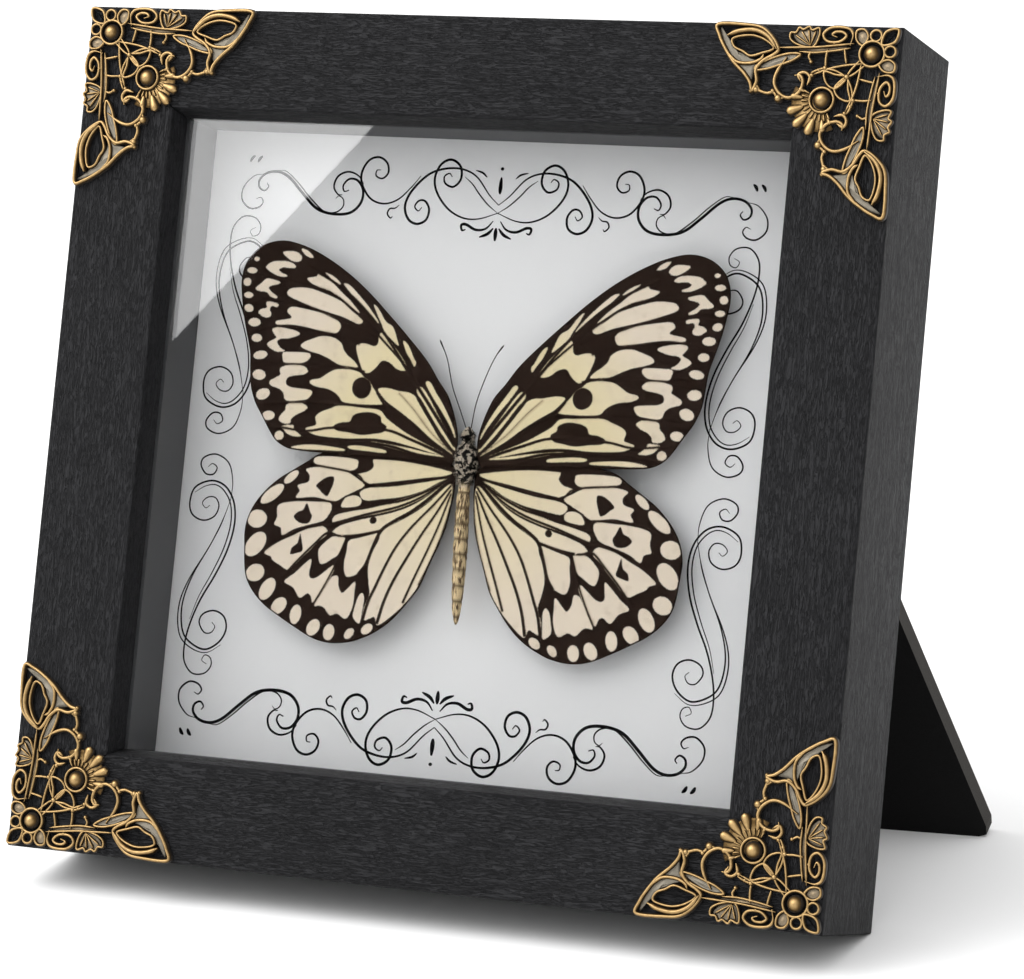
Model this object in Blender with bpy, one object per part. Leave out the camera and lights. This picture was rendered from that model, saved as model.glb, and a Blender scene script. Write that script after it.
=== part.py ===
"""Framed butterfly specimen: a wood box frame with pierced brass corners, leaning on an easel strut.

Everything sits in a panel that leans back. Panel coordinates: x to the right, y back from the front
face of the wood, z up from the bottom edge. Lengths are in metres.
"""

import math

import bpy
from mathutils import Matrix, Vector

MM = 0.001

# Box frame
SIDE = 200 * MM  # outer width and height
BOX_DEPTH = 40 * MM
TILT = math.radians(15)  # lean back from upright
FACE_WIDTH = 23.7 * MM  # visible wood face
LIP_DEPTH = 6 * MM
LIP_WIDTH = 1.4 * MM  # the lip's slope, inwards from the face
LIP_EDGE = 0.5 * MM
WALL = 21 * MM  # rail wall behind the lip
OUTER_EDGE = 0.3 * MM  # chamfer along the outer corners
GAP = 0.3 * MM  # between pieces that touch

# What the frame holds, from front to back
GLASS_THICK = 1.7 * MM
CARD_FRONT = 23.5 * MM
CARD_THICK = 0.8 * MM
BOARD_THICK = 4.2 * MM
BOARD_INSET = 1.4 * MM
BOARD_FRONT = BOX_DEPTH + GAP
BOARD_BACK = BOARD_FRONT + BOARD_THICK
REST_EDGE = Vector((0, BOX_DEPTH - OUTER_EDGE, 0))  # on the rear bottom edge, which stands on the floor

# Screws of the back board
SCREW_X = 90 * MM
SCREW_Z = (30 * MM, 170 * MM)
SCREW_HEAD = (2.8 * MM, 1.2 * MM)  # radius, height
SCREW_HEAD_TOP = 0.7  # the head's front radius, as a share of its radius
SCREW_SHANK = (1.2 * MM, 10 * MM)  # radius, length under the head
SCREW_TIP = (0.3 * MM, 2 * MM)  # radius, length of the taper
SCREW_SEAT = BOARD_BACK - SCREW_HEAD[1] - GAP  # under the head, which ends a gap below the board's back

# Brass corners: points (u, v) from the outer corner, in millimetres, for the half with u above v
CORNER_THICK = 1.3 * MM
CORNER_OUTLINE = (
    (0.3, 0.3), (4.6, 0.7), (8.6, 1.4), (11.0, 0.4), (16.4, 0.2), (24.4, 1.0), (26.2, 4.0),
    (28.6, 1.6), (32.5, 0.3), (42.4, 0.2), (41.0, 4.2), (38.6, 7.2), (35.6, 9.6), (33.2, 12.4),
    (32.4, 15.2), (30.0, 14.8), (26.6, 17.2), (24.4, 17.0), (24.2, 20.4), (22.8, 22.8),
)
CORNER_HOLES = (
    ((28.6, 4.6), (31.4, 2.6), (37.8, 2.4), (36.8, 4.8), (33.8, 6.2)),
    ((21.4, 9.4), (24.4, 9.4), (26.2, 12.0), (26.0, 14.4), (23.6, 15.4), (21.4, 13.4)),
    ((27.2, 10.0), (30.6, 11.0), (29.8, 13.4), (27.6, 12.6)),
    ((11.6, 6.2), (14.6, 6.4), (14.2, 9.0), (11.8, 8.4)),
    ((16.2, 6.6), (19.2, 6.8), (19.0, 10.4), (16.2, 9.2)),
)
CORNER_DOMES = ((6.6, 6.6, 2.2), (17.0, 17.0, 2.2))  # u, v, radius
DOME_RISE = 0.8  # a dome's height, as a share of its radius
DOME_TIP = 0.05 * MM
DOME_ANGLES = range(0, 91, 15)  # degrees from the dome's tip to its foot
DOME_SIDES = 16

# Easel strut: hinged along a line that slants across the back board
STRUT_OPEN = math.radians(23.9)
HINGE_SLANT = math.radians(12)
HINGE_X = 7.8 * MM
HINGE_Z = 179.7 * MM
KNUCKLE_RADIUS = 1.7 * MM
LEAF_THICK = 1 * MM
LEAF_DROP = 13 * MM  # from the pin to the leaf's lower edge
HINGE_WIDTH = 30 * MM
PIN_RADIUS = 0.7 * MM
PIN_OVERHANG = 0.6 * MM
PIN_SIDES = 12
PIN_BORE = 1.0 * MM
HINGE_Y = BOARD_BACK + GAP + KNUCKLE_RADIUS
STRUT_OFFSET = KNUCKLE_RADIUS + GAP  # from the pin to the strut's inner face
STRUT_THICK = 7.5 * MM
# From the pin up to the strut's top edge, which meets the back board when the strut is open
STRUT_TOP = (STRUT_OFFSET * math.cos(STRUT_OPEN) + HINGE_Y - BOARD_BACK - GAP) / math.sin(STRUT_OPEN)
STRUT_HALF_TOP = 28.3 * MM
STRUT_FLARE = math.radians(10)
STRUT_CORNER = 3 * MM  # how far the rounding of the foot's corners reaches
RIVET_RADIUS = 1.0 * MM
RIVET_HEAD = (1.9 * MM, 0.45 * MM)  # radius, height
RIVET_DOME = ((1.0, 0.5), (0.5, 0.9))  # shares of the head's height and radius, from its top down
RIVET_X = 9 * MM
RIVET_DROP = 8 * MM
RIVET_LENGTH = 2.2 * MM  # into the board

# Specimen
FOREWING_Y = 16.8 * MM
HINDWING_Y = 17.5 * MM
WING_THICK = 0.4 * MM
ANTENNA_RADIUS = 0.25 * MM
FOREWING_OUTLINE = (
    (-2.6, 104.6), (-5.3, 112.7), (-8.7, 117.3), (-12.0, 121.7), (-17.3, 127.0), (-22.7, 132.0),
    (-28.0, 136.7), (-33.3, 140.7), (-38.7, 144.0), (-44.0, 146.5), (-48.7, 147.9), (-52.0, 148.2),
    (-55.3, 147.5), (-58.0, 146.0), (-60.2, 143.6), (-61.3, 140.6), (-61.5, 137.4), (-60.8, 133.2),
    (-60.0, 129.6), (-58.7, 125.3), (-57.5, 121.3), (-57.0, 117.3), (-56.4, 113.3), (-54.9, 109.6),
    (-52.6, 106.2), (-50.4, 103.0), (-48.4, 100.7), (-45.6, 99.2), (-42.0, 98.7), (-34.0, 98.5),
    (-24.0, 98.6), (-14.0, 98.5), (-6.0, 98.0), (-3.3, 98.3),
)
HINDWING_OUTLINE = (
    (-3.2, 97.6), (-10.0, 99.6), (-20.0, 100.4), (-30.0, 99.8), (-36.4, 98.6), (-40.0, 96.4),
    (-43.4, 94.2), (-47.0, 91.8), (-50.1, 88.9), (-52.6, 85.6), (-54.1, 82.2), (-54.6, 78.8),
    (-54.3, 75.2), (-53.9, 71.4), (-53.0, 67.8), (-50.8, 64.6), (-47.6, 61.8), (-43.8, 59.6),
    (-39.4, 57.3), (-34.6, 55.1), (-30.0, 54.3), (-25.2, 54.9), (-22.2, 56.0), (-19.4, 57.4),
    (-16.3, 59.6), (-13.8, 62.1), (-11.3, 65.3), (-8.8, 69.0), (-6.9, 74.0), (-5.0, 79.0),
    (-3.6, 83.4), (-2.9, 87.8), (-2.4, 92.6),
)
FOREWING_TURN = math.radians(1.6)  # the right forewing is set this much higher than the left
WING_ROOT = (3.0 * MM, 100 * MM)
# z, centre x, centre y, half width, half thickness, from head to tail
BODY_RINGS = (
    (107.0, 0.0, 16.7, 0.2, 0.2),
    (106.5, 0.0, 16.7, 0.8, 0.8), (105.4, 0.0, 16.7, 1.5, 1.4), (104.2, 0.0, 16.8, 1.4, 1.4),
    (103.3, 0.0, 17.0, 1.2, 1.4), (101.9, 0.0, 17.3, 2.1, 2.4), (99.5, 0.0, 17.6, 2.8, 3.1),
    (97.0, 0.0, 17.6, 2.6, 2.9), (94.9, 0.0, 17.5, 1.8, 2.1), (93.2, 0.0, 17.4, 1.4, 1.6),
    (90.0, 0.0, 17.4, 1.5, 1.8), (84.0, 0.2, 17.4, 1.7, 1.9), (76.0, 0.5, 17.5, 1.7, 1.9),
    (69.0, 0.7, 17.6, 1.4, 1.6), (64.0, 0.8, 17.7, 1.0, 1.2), (61.8, 0.9, 17.8, 0.5, 0.7),
    (61.1, 0.9, 17.8, 0.2, 0.2),
)
BODY_SIDES = 16
ANTENNA_LEFT = ((-0.7, 107.5), (-2.5, 110.6), (-5.0, 116.0), (-7.0, 122.4), (-9.3, 126.8))
ANTENNA_RIGHT = ((0.6, 107.6), (1.3, 112.6), (3.0, 118.6), (4.9, 123.4), (6.8, 126.4))
ANTENNA_Y = 16.6 * MM
PAD_HALF = 1.4 * MM
PAD_Z = (96.5 * MM, 101.5 * MM)
PAD_FRONT = 21.0 * MM

# How the shapes are made
ROUND = 24  # sides of a small round piece
SHARP = math.radians(40)  # edges steeper than this stay sharp
OVERRUN = 1 * MM  # how far a cutter runs past what it cuts


def clear_scene():
    for old in list(bpy.data.objects):
        bpy.data.objects.remove(old, do_unlink=True)


def material(name, color, roughness, metallic=0.0, alpha=1.0):
    made = bpy.data.materials.new(name)
    made.use_nodes = True
    shader = made.node_tree.nodes["Principled BSDF"]
    shader.inputs["Base Color"].default_value = (*color, 1.0)
    shader.inputs["Roughness"].default_value = roughness
    shader.inputs["Metallic"].default_value = metallic
    shader.inputs["Alpha"].default_value = alpha
    return made


def empty(name, parent, location=(0, 0, 0), rotation=(0, 0, 0)):
    made = bpy.data.objects.new(name, None)
    bpy.context.scene.collection.objects.link(made)
    made.parent = parent
    made.location = location
    made.rotation_euler = rotation
    return made


def link(name, mesh, parent, finish=None, location=(0, 0, 0), rotation=(0, 0, 0)):
    made = bpy.data.objects.new(name, mesh)
    bpy.context.scene.collection.objects.link(made)
    made.parent = parent
    made.location = location
    made.rotation_euler = rotation
    if finish:
        mesh.materials.append(finish)
    return made


def mesh_from(name, points, faces):
    mesh = bpy.data.meshes.new(name)
    mesh.from_pydata([tuple(point) for point in points], [], faces)
    mesh.validate()
    return mesh


def loft(name, rings):
    """A closed skin over rings of equal count. The first ring runs anticlockwise, seen from outside."""
    count = len(rings[0])
    points = [point for ring in rings for point in ring]
    faces = []
    for row in range(len(rings) - 1):
        for i in range(count):
            j = (i + 1) % count
            faces.append((row * count + j, row * count + i, (row + 1) * count + i, (row + 1) * count + j))
    faces.append(tuple(range(count)))
    last = (len(rings) - 1) * count
    faces.append(tuple(last + i for i in reversed(range(count))))
    return mesh_from(name, points, faces)


def signed_area(outline):
    following = outline[1:] + outline[:1]
    return sum(x0 * z1 - x1 * z0 for (x0, z0), (x1, z1) in zip(outline, following)) / 2


def prism(name, outline, front, back):
    """An outline in x and z, extruded from y = front to y = back."""
    outline = list(outline)
    if signed_area(outline) < 0:
        outline.reverse()
    rings = [[(x, y, z) for x, z in outline] for y in (front, back)]
    return loft(name, rings)


def block(name, x, y, z):
    return prism(name, ((x[0], z[0]), (x[1], z[0]), (x[1], z[1]), (x[0], z[1])), y[0], y[1])


def disc_stack(name, steps, sides=ROUND):
    """A turned piece along y: steps are (y, radius), from the front end to the back end."""
    rings = []
    for y, radius in steps:
        angles = [2 * math.pi * i / sides for i in range(sides)]
        rings.append([(radius * math.cos(a), y, radius * math.sin(a)) for a in angles])
    mesh = loft(name, rings)
    mesh.shade_smooth()
    mesh.set_sharp_from_angle(angle=SHARP)
    return mesh


def bar(name, radius, span, sides=ROUND):
    """A round bar along x, over a span of x."""
    angles = [2 * math.pi * i / sides for i in range(sides)]
    rings = [[(x, radius * math.sin(a), radius * math.cos(a)) for a in angles] for x in span]
    return loft(name, rings)


def cut(target, cutter, operation="DIFFERENCE"):
    cutter.hide_render = True
    cutter.display_type = "WIRE"
    change = target.modifiers.new(cutter.name, "BOOLEAN")
    change.operation = operation
    change.solver = "EXACT"
    change.object = cutter
    return change


def baked(source, name):
    """The mesh of an object after its modifiers."""
    bpy.context.view_layer.update()
    graph = bpy.context.evaluated_depsgraph_get()
    mesh = bpy.data.meshes.new_from_object(source.evaluated_get(graph))
    mesh.name = name
    return mesh


def screw_places():
    return [(side * SCREW_X, z) for side in (-1, 1) for z in SCREW_Z]


def make_sides(prefix, profile, panel, finish):
    """Four sides: one profile of (inwards, y), carried along each side and cut at 45 degrees at its ends."""
    half = SIDE / 2
    ends = []
    for side in (-1, 1):
        ends.append([(side * (half - inward - GAP / 2), y, inward - half) for inward, y in profile])
    made = {}
    for place, turn in (("bottom", 0), ("left", 90), ("top", 180), ("right", 270)):
        name = f"{prefix}_{place}"
        made[place] = link(name, loft(name, ends), panel, finish, (0, 0, half), (0, math.radians(turn), 0))
    return made


def make_rails(panel, wood):
    profile = (
        (OUTER_EDGE, 0), (FACE_WIDTH - LIP_EDGE, 0), (FACE_WIDTH, LIP_EDGE),
        (FACE_WIDTH + LIP_WIDTH, LIP_DEPTH), (WALL, LIP_DEPTH), (WALL, BOX_DEPTH),
        (OUTER_EDGE, BOX_DEPTH), (0, BOX_DEPTH - OUTER_EDGE), (0, OUTER_EDGE),
    )
    rails = make_sides("rail", profile, panel, wood)
    radius, length = SCREW_SHANK
    steps = [(y, radius + GAP) for y in (SCREW_SEAT - length - GAP, BOX_DEPTH + OVERRUN)]
    for number, (x, z) in enumerate(screw_places(), 1):
        rail = rails["left" if x < 0 else "right"]
        cut(rail, link(f"screw_bore_{number}", disc_stack("screw_bore", steps), panel, location=(x, 0, z)))


def make_spacers(panel, grey):
    outer = WALL + GAP
    inner = FACE_WIDTH + LIP_WIDTH
    front = LIP_DEPTH + GAP + GLASS_THICK + GAP
    back = CARD_FRONT - GAP
    make_sides("spacer", ((outer, front), (inner, front), (inner, back), (outer, back)), panel, grey)


def make_fill(panel, finishes):
    """The square sheets inside the rails, and the back board over them."""
    reach = SIDE / 2 - WALL - GAP
    across = (-reach, reach)
    up = (SIDE / 2 - reach, SIDE / 2 + reach)
    glass_front = LIP_DEPTH + GAP
    card_back = CARD_FRONT + CARD_THICK
    layers = (
        ("glass_pane", (glass_front, glass_front + GLASS_THICK), "glass"),
        ("mount_card", (CARD_FRONT, card_back), "card"),
        ("foam_block", (card_back + GAP, BOX_DEPTH), "foam"),
    )
    for name, depth, finish in layers:
        link(name, block(name, across, depth, up), panel, finishes[finish])

    reach = SIDE / 2 - BOARD_INSET
    mesh = block("back_board", (-reach, reach), (BOARD_FRONT, BOARD_BACK), (BOARD_INSET, SIDE - BOARD_INSET))
    board = link("back_board", mesh, panel, finishes["board"])
    shank, head = SCREW_SHANK[0] + GAP, SCREW_HEAD[0] + GAP
    sunk = SCREW_SEAT - GAP
    steps = ((BOARD_FRONT - OVERRUN, shank), (sunk, shank), (sunk, head), (BOARD_BACK + OVERRUN, head))
    for number, (x, z) in enumerate(screw_places(), 1):
        cut(board, link(f"screw_hole_{number}", disc_stack("screw_hole", steps), panel, location=(x, 0, z)))
    return board


def make_screws(panel, steel):
    head, height = SCREW_HEAD
    shank, length = SCREW_SHANK
    tip = SCREW_SEAT - length
    tip_radius, taper = SCREW_TIP
    steps = (
        (tip, tip_radius), (tip + taper, shank), (SCREW_SEAT, shank), (SCREW_SEAT, head),
        (SCREW_SEAT + height / 2, head), (SCREW_SEAT + height, head * SCREW_HEAD_TOP),
    )
    mesh = disc_stack("back_screw", steps)
    mesh.materials.append(steel)
    for number, (x, z) in enumerate(screw_places(), 1):
        link(f"back_screw_{number}", mesh, panel, location=(x, 0, z))


def corner_point(u, v):
    """A point of a brass corner, in x and z from the frame's middle, for the top left corner."""
    return (u * MM - SIDE / 2, SIDE / 2 - v * MM)


def make_corners(panel, brass):
    """One pierced plate, mirrored about its diagonal, then turned to each corner of the frame."""
    back = -GAP
    front = back - CORNER_THICK
    half = list(CORNER_OUTLINE)
    outline = [corner_point(u, v) for u, v in half]
    outline += [corner_point(v, u) for u, v in reversed(half[1:-1])]
    plate = link("corner_plate", prism("corner_plate", outline, front, back), None)
    for number, hole in enumerate(CORNER_HOLES):
        for side, swap in (("a", False), ("b", True)):
            points = [corner_point(*(reversed(point) if swap else point)) for point in hole]
            mesh = prism("piercing", points, front - OVERRUN, back + OVERRUN)
            cut(plate, link(f"piercing_{number}{side}", mesh, None))
    for number, (u, v, radius) in enumerate(CORNER_DOMES):
        x, z = corner_point(u, v)
        reach = radius * MM
        arc = [math.radians(angle) for angle in DOME_ANGLES]
        steps = [(front - reach * DOME_RISE * math.cos(a), max(reach * math.sin(a), DOME_TIP)) for a in arc]
        steps.append((back - CORNER_THICK / 2, reach))
        dome = link(f"dome_{number}", disc_stack("dome", steps, DOME_SIDES), None, location=(x, 0, z))
        cut(plate, dome, "UNION")
    plate.hide_render = True
    plate.display_type = "WIRE"
    mesh = baked(plate, "corner_piece")
    mesh.materials.append(brass)
    turns = {"top_left": 0, "top_right": 90, "bottom_right": 180, "bottom_left": 270}
    for place, turn in turns.items():
        link(f"corner_{place}", mesh, panel, location=(0, 0, SIDE / 2), rotation=(0, math.radians(turn), 0))


def leaf_mesh(name, knuckles, plate):
    """A hinge leaf: a plate below the pin, with tubes round the pin over part of its width."""
    width = HINGE_WIDTH / 2
    leaf = link(f"{name}_blank", block(name, (-width, width), plate, (-LEAF_DROP, 0)), None)
    leaf.hide_render = True
    leaf.display_type = "WIRE"
    clearance = KNUCKLE_RADIUS + GAP
    span = (-width - OVERRUN, width + OVERRUN)
    cut(leaf, link(f"{name}_clearance", bar("clearance", clearance, span), None))
    for number, (start, end) in enumerate(knuckles):
        tube = bar("knuckle", KNUCKLE_RADIUS, (start, end))
        cut(leaf, link(f"{name}_knuckle_{number}", tube, None), "UNION")
        web = block("web", (start, end), plate, (-clearance - OVERRUN, -KNUCKLE_RADIUS / 2))
        cut(leaf, link(f"{name}_web_{number}", web, None), "UNION")
    cut(leaf, link(f"{name}_bore", bar("bore", PIN_BORE, span), None))
    for side in (-1, 1):
        steps = [(y, RIVET_RADIUS + GAP) for y in (plate[0] - OVERRUN, plate[1] + OVERRUN)]
        hole = link(f"{name}_hole_{side}", disc_stack("rivet_hole", steps), None,
                    location=(side * RIVET_X, 0, -RIVET_DROP))
        cut(leaf, hole)
    return baked(leaf, name)


def rivet_mesh(face, into, head_side):
    """A rivet along y: its head stands on the leaf's face and its shank goes into the board."""
    radius, height = RIVET_HEAD
    seat = face + head_side * GAP / 2
    steps = [(seat + head_side * height * up, radius * out) for up, out in RIVET_DOME]
    steps += [(seat, radius), (seat, RIVET_RADIUS), (into, RIVET_RADIUS)]
    if head_side > 0:
        steps.reverse()
    return disc_stack("hinge_rivet", steps)


def strut_outline():
    """The strut's shape in its own plane, from the pin: a trapezoid whose foot lies on the floor."""
    inner_face = Vector((0, STRUT_OFFSET, 0))
    to_panel = swing_matrix()
    up_in_panel = Vector((0, -math.sin(TILT), math.cos(TILT)))

    def height(x, z):
        return (to_panel @ (inner_face + Vector((x, 0, z))) - REST_EDGE).dot(up_in_panel)

    def foot(side):
        """Where the slanting edge on this side meets the floor."""
        lean = side * math.tan(STRUT_FLARE)
        start = height(side * STRUT_HALF_TOP, 0)
        fall = start - height(side * STRUT_HALF_TOP + lean, -1)
        drop = start / fall
        return Vector((side * STRUT_HALF_TOP + lean * drop, -drop))

    def rounded(corner, before, after):
        """Three points of a parabola in place of a corner."""
        first, last = [corner + STRUT_CORNER * (other - corner).normalized() for other in (before, after)]
        return [first, (first + 2 * corner + last) / 4, last]

    half_top = STRUT_HALF_TOP - STRUT_TOP * math.tan(STRUT_FLARE)
    top = [Vector((side * half_top, STRUT_TOP)) for side in (-1, 1)]
    left, right = foot(-1), foot(1)
    return top + rounded(right, top[1], left) + rounded(left, right, top[0])


def swing_matrix():
    """From the strut's own coordinates to the panel's, at rest."""
    place = Matrix.Translation((HINGE_X, HINGE_Y, HINGE_Z))
    return place @ Matrix.Rotation(-HINGE_SLANT, 4, "Y") @ Matrix.Rotation(STRUT_OPEN, 4, "X")


def make_stand(panel, board, finishes):
    hinge = empty("hinge_line", panel, (HINGE_X, HINGE_Y, HINGE_Z), (0, -HINGE_SLANT, 0))
    swing = empty("strut_swing", hinge, rotation=(STRUT_OPEN, 0, 0))

    strut_back = STRUT_OFFSET + STRUT_THICK
    mesh = prism("strut", [tuple(point) for point in strut_outline()], STRUT_OFFSET, strut_back)
    strut = link("strut", mesh, swing, finishes["board"])

    end = HINGE_WIDTH / 2
    joint = HINGE_WIDTH / 6  # where the middle knuckle meets the two outer ones
    play = GAP / 2
    outer = ((-end, -joint - play), (joint + play, end))
    inner = ((-joint + play, joint - play),)
    back_plate = (-KNUCKLE_RADIUS, -KNUCKLE_RADIUS + LEAF_THICK)
    strut_plate = (KNUCKLE_RADIUS - LEAF_THICK, KNUCKLE_RADIUS)
    link("hinge_leaf_back", leaf_mesh("hinge_leaf_back", outer, back_plate), hinge, finishes["steel"])
    link("hinge_leaf_strut", leaf_mesh("hinge_leaf_strut", inner, strut_plate), swing, finishes["steel"])

    reach = end + PIN_OVERHANG
    link("hinge_pin", bar("hinge_pin", PIN_RADIUS, (-reach, reach), PIN_SIDES), hinge, finishes["steel"])

    into_board = -KNUCKLE_RADIUS - GAP - RIVET_LENGTH
    into_strut = STRUT_OFFSET + RIVET_LENGTH
    kinds = (
        (hinge, board, rivet_mesh(back_plate[1], into_board, 1), (into_board - GAP, -KNUCKLE_RADIUS)),
        (swing, strut, rivet_mesh(strut_plate[0], into_strut, -1), (KNUCKLE_RADIUS, into_strut + GAP)),
    )
    number = 0
    for parent, target, mesh, depth in kinds:
        mesh.materials.append(finishes["steel"])
        for side in (-1, 1):
            number += 1
            place = (side * RIVET_X, 0, -RIVET_DROP)
            link(f"hinge_rivet_{number}", mesh, parent, location=place)
            steps = [(y, RIVET_RADIUS + GAP) for y in depth]
            cut(target, link(f"rivet_bore_{number}", disc_stack("rivet_bore", steps), parent, location=place))


def make_wings(panel, finish):
    """Each blade is modelled for the left side and mirrored for the right."""
    blades = (
        ("forewing", FOREWING_OUTLINE, FOREWING_Y, FOREWING_TURN),
        ("hindwing", HINDWING_OUTLINE, HINDWING_Y, 0.0),
    )
    root_x, root_z = WING_ROOT
    for name, outline, front, turn in blades:
        left = [(x * MM, z * MM) for x, z in outline]
        mesh = prism(f"{name}_left", left, front, front + WING_THICK)
        link(f"{name}_left", mesh, panel, finish)
        right = [(-x - root_x, z - root_z) for x, z in left]
        mesh = prism(f"{name}_right", right, front, front + WING_THICK)
        link(f"{name}_right", mesh, panel, finish, (root_x, 0, root_z), (0, -turn, 0))


def make_body(panel, finish):
    rings = []
    for z, x, y, half_width, half_thick in BODY_RINGS:
        ring = []
        for i in range(BODY_SIDES):
            a = 2 * math.pi * i / BODY_SIDES
            ring.append(((x + half_width * math.cos(a)) * MM, (y + half_thick * math.sin(a)) * MM, z * MM))
        rings.append(ring)
    mesh = loft("butterfly_body", rings)
    mesh.shade_smooth()
    link("butterfly_body", mesh, panel, finish)


def make_antennae(panel, finish):
    for name, route in (("antenna_left", ANTENNA_LEFT), ("antenna_right", ANTENNA_RIGHT)):
        curve = bpy.data.curves.new(name, "CURVE")
        curve.dimensions = "3D"
        curve.bevel_depth = ANTENNA_RADIUS
        curve.bevel_resolution = 1
        curve.use_fill_caps = True
        curve.resolution_u = 3
        line = curve.splines.new("BEZIER")
        line.bezier_points.add(len(route) - 1)
        for point, (x, z) in zip(line.bezier_points, route):
            point.co = (x * MM, ANTENNA_Y, z * MM)
            point.handle_left_type = point.handle_right_type = "AUTO"
        curve.materials.append(finish)
        link(name, curve, panel)


def make_pad(panel, finish):
    depth = (PAD_FRONT, CARD_FRONT - GAP)
    link("specimen_pad", block("specimen_pad", (-PAD_HALF, PAD_HALF), depth, PAD_Z), panel, finish)


def stand_on_origin(root):
    """Moves the whole object so that the bottom centre of its box is at the origin."""
    bpy.context.view_layer.update()
    graph = bpy.context.evaluated_depsgraph_get()
    low = Vector((math.inf,) * 3)
    high = -low
    for item in bpy.data.objects:
        if item.type == "EMPTY" or item.hide_render:
            continue
        solid = item.evaluated_get(graph)
        mesh = solid.to_mesh()
        for vertex in mesh.vertices:
            point = solid.matrix_world @ vertex.co
            low = Vector(map(min, low, point))
            high = Vector(map(max, high, point))
        solid.to_mesh_clear()
    middle = (low + high) / 2
    root.location -= Vector((middle.x, middle.y, low.z))
    return high - low


def main():
    clear_scene()
    finishes = {
        "wood": material("black_wood", (0.03, 0.03, 0.032), 0.6),
        "brass": material("antique_brass", (0.45, 0.3, 0.12), 0.4, 0.9),
        "glass": material("glass", (0.9, 0.95, 0.95), 0.05, alpha=0.25),
        "spacer": material("grey_spacer", (0.3, 0.3, 0.3), 0.7),
        "card": material("white_card", (0.85, 0.85, 0.85), 0.8),
        "foam": material("foam", (0.8, 0.8, 0.78), 0.9),
        "board": material("black_board", (0.02, 0.02, 0.02), 0.8),
        "steel": material("steel", (0.5, 0.5, 0.5), 0.35, 1.0),
        "wing": material("wing", (0.6, 0.5, 0.35), 0.8),
        "body": material("body", (0.25, 0.2, 0.13), 0.8),
        "antenna": material("antenna", (0.02, 0.018, 0.015), 0.6),
    }
    root = empty("frame_root", None)
    panel = empty("panel", root, (0, 0, BOX_DEPTH * math.sin(TILT)), (-TILT, 0, 0))
    make_rails(panel, finishes["wood"])
    make_spacers(panel, finishes["spacer"])
    board = make_fill(panel, finishes)
    make_screws(panel, finishes["steel"])
    make_corners(panel, finishes["brass"])
    make_stand(panel, board, finishes)
    make_wings(panel, finishes["wing"])
    make_body(panel, finishes["body"])
    make_antennae(panel, finishes["antenna"])
    make_pad(panel, finishes["foam"])
    size = stand_on_origin(root)
    bpy.context.view_layer.update()
    print("size", [round(side / MM, 1) for side in size])
    print("panel origin", [round(value, 5) for value in panel.matrix_world.translation])
    hinge = bpy.data.objects["hinge_line"].matrix_world
    print("hinge", [round(value, 5) for value in hinge.translation])
    print("hinge axis", [round(value, 5) for value in hinge.col[0][:3]])


main()
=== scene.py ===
"""Finishes and fine shapes of a framed butterfly specimen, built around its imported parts.

Shapes are worked out in panel millimetres: x to the right, y back from the front face of the wood, z up
from the bottom edge of the frame. The panel leans back, and Panel carries every point to its place.
"""

import logging
import math
from collections.abc import Sequence
from dataclasses import dataclass, field
from enum import Enum

import bmesh
import bpy
import numpy as np
from mathutils import Matrix, Vector


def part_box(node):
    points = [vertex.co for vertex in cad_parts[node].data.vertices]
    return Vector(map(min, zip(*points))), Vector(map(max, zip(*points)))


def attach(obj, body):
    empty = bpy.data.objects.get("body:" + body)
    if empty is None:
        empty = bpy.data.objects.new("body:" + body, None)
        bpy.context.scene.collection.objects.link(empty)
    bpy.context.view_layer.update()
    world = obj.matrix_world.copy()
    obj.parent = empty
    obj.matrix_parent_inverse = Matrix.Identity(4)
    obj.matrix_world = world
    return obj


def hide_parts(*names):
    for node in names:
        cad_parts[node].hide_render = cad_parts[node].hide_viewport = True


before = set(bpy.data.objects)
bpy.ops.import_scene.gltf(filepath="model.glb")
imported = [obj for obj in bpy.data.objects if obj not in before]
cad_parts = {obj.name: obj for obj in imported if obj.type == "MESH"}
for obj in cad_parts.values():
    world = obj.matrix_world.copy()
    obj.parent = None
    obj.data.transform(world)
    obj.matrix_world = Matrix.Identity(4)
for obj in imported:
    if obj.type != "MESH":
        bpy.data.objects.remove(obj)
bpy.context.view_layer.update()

log = logging.getLogger("specimen")

MM = 0.001
TILT = math.radians(15.0)  # the panel's lean
GAP = 0.3  # clearance between touching parts, in millimetres
CREASE = math.radians(30.0)  # the strut's edges past this angle are rounded and stay sharp
FLAT = math.radians(1.0)  # faces closer to flat than this are joined
SAME_PLACE = 1e-6  # points closer than this, in metres, are one
SEED = 7
Points = Sequence[tuple[float, float]]
Color = tuple[float, float, float]


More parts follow.
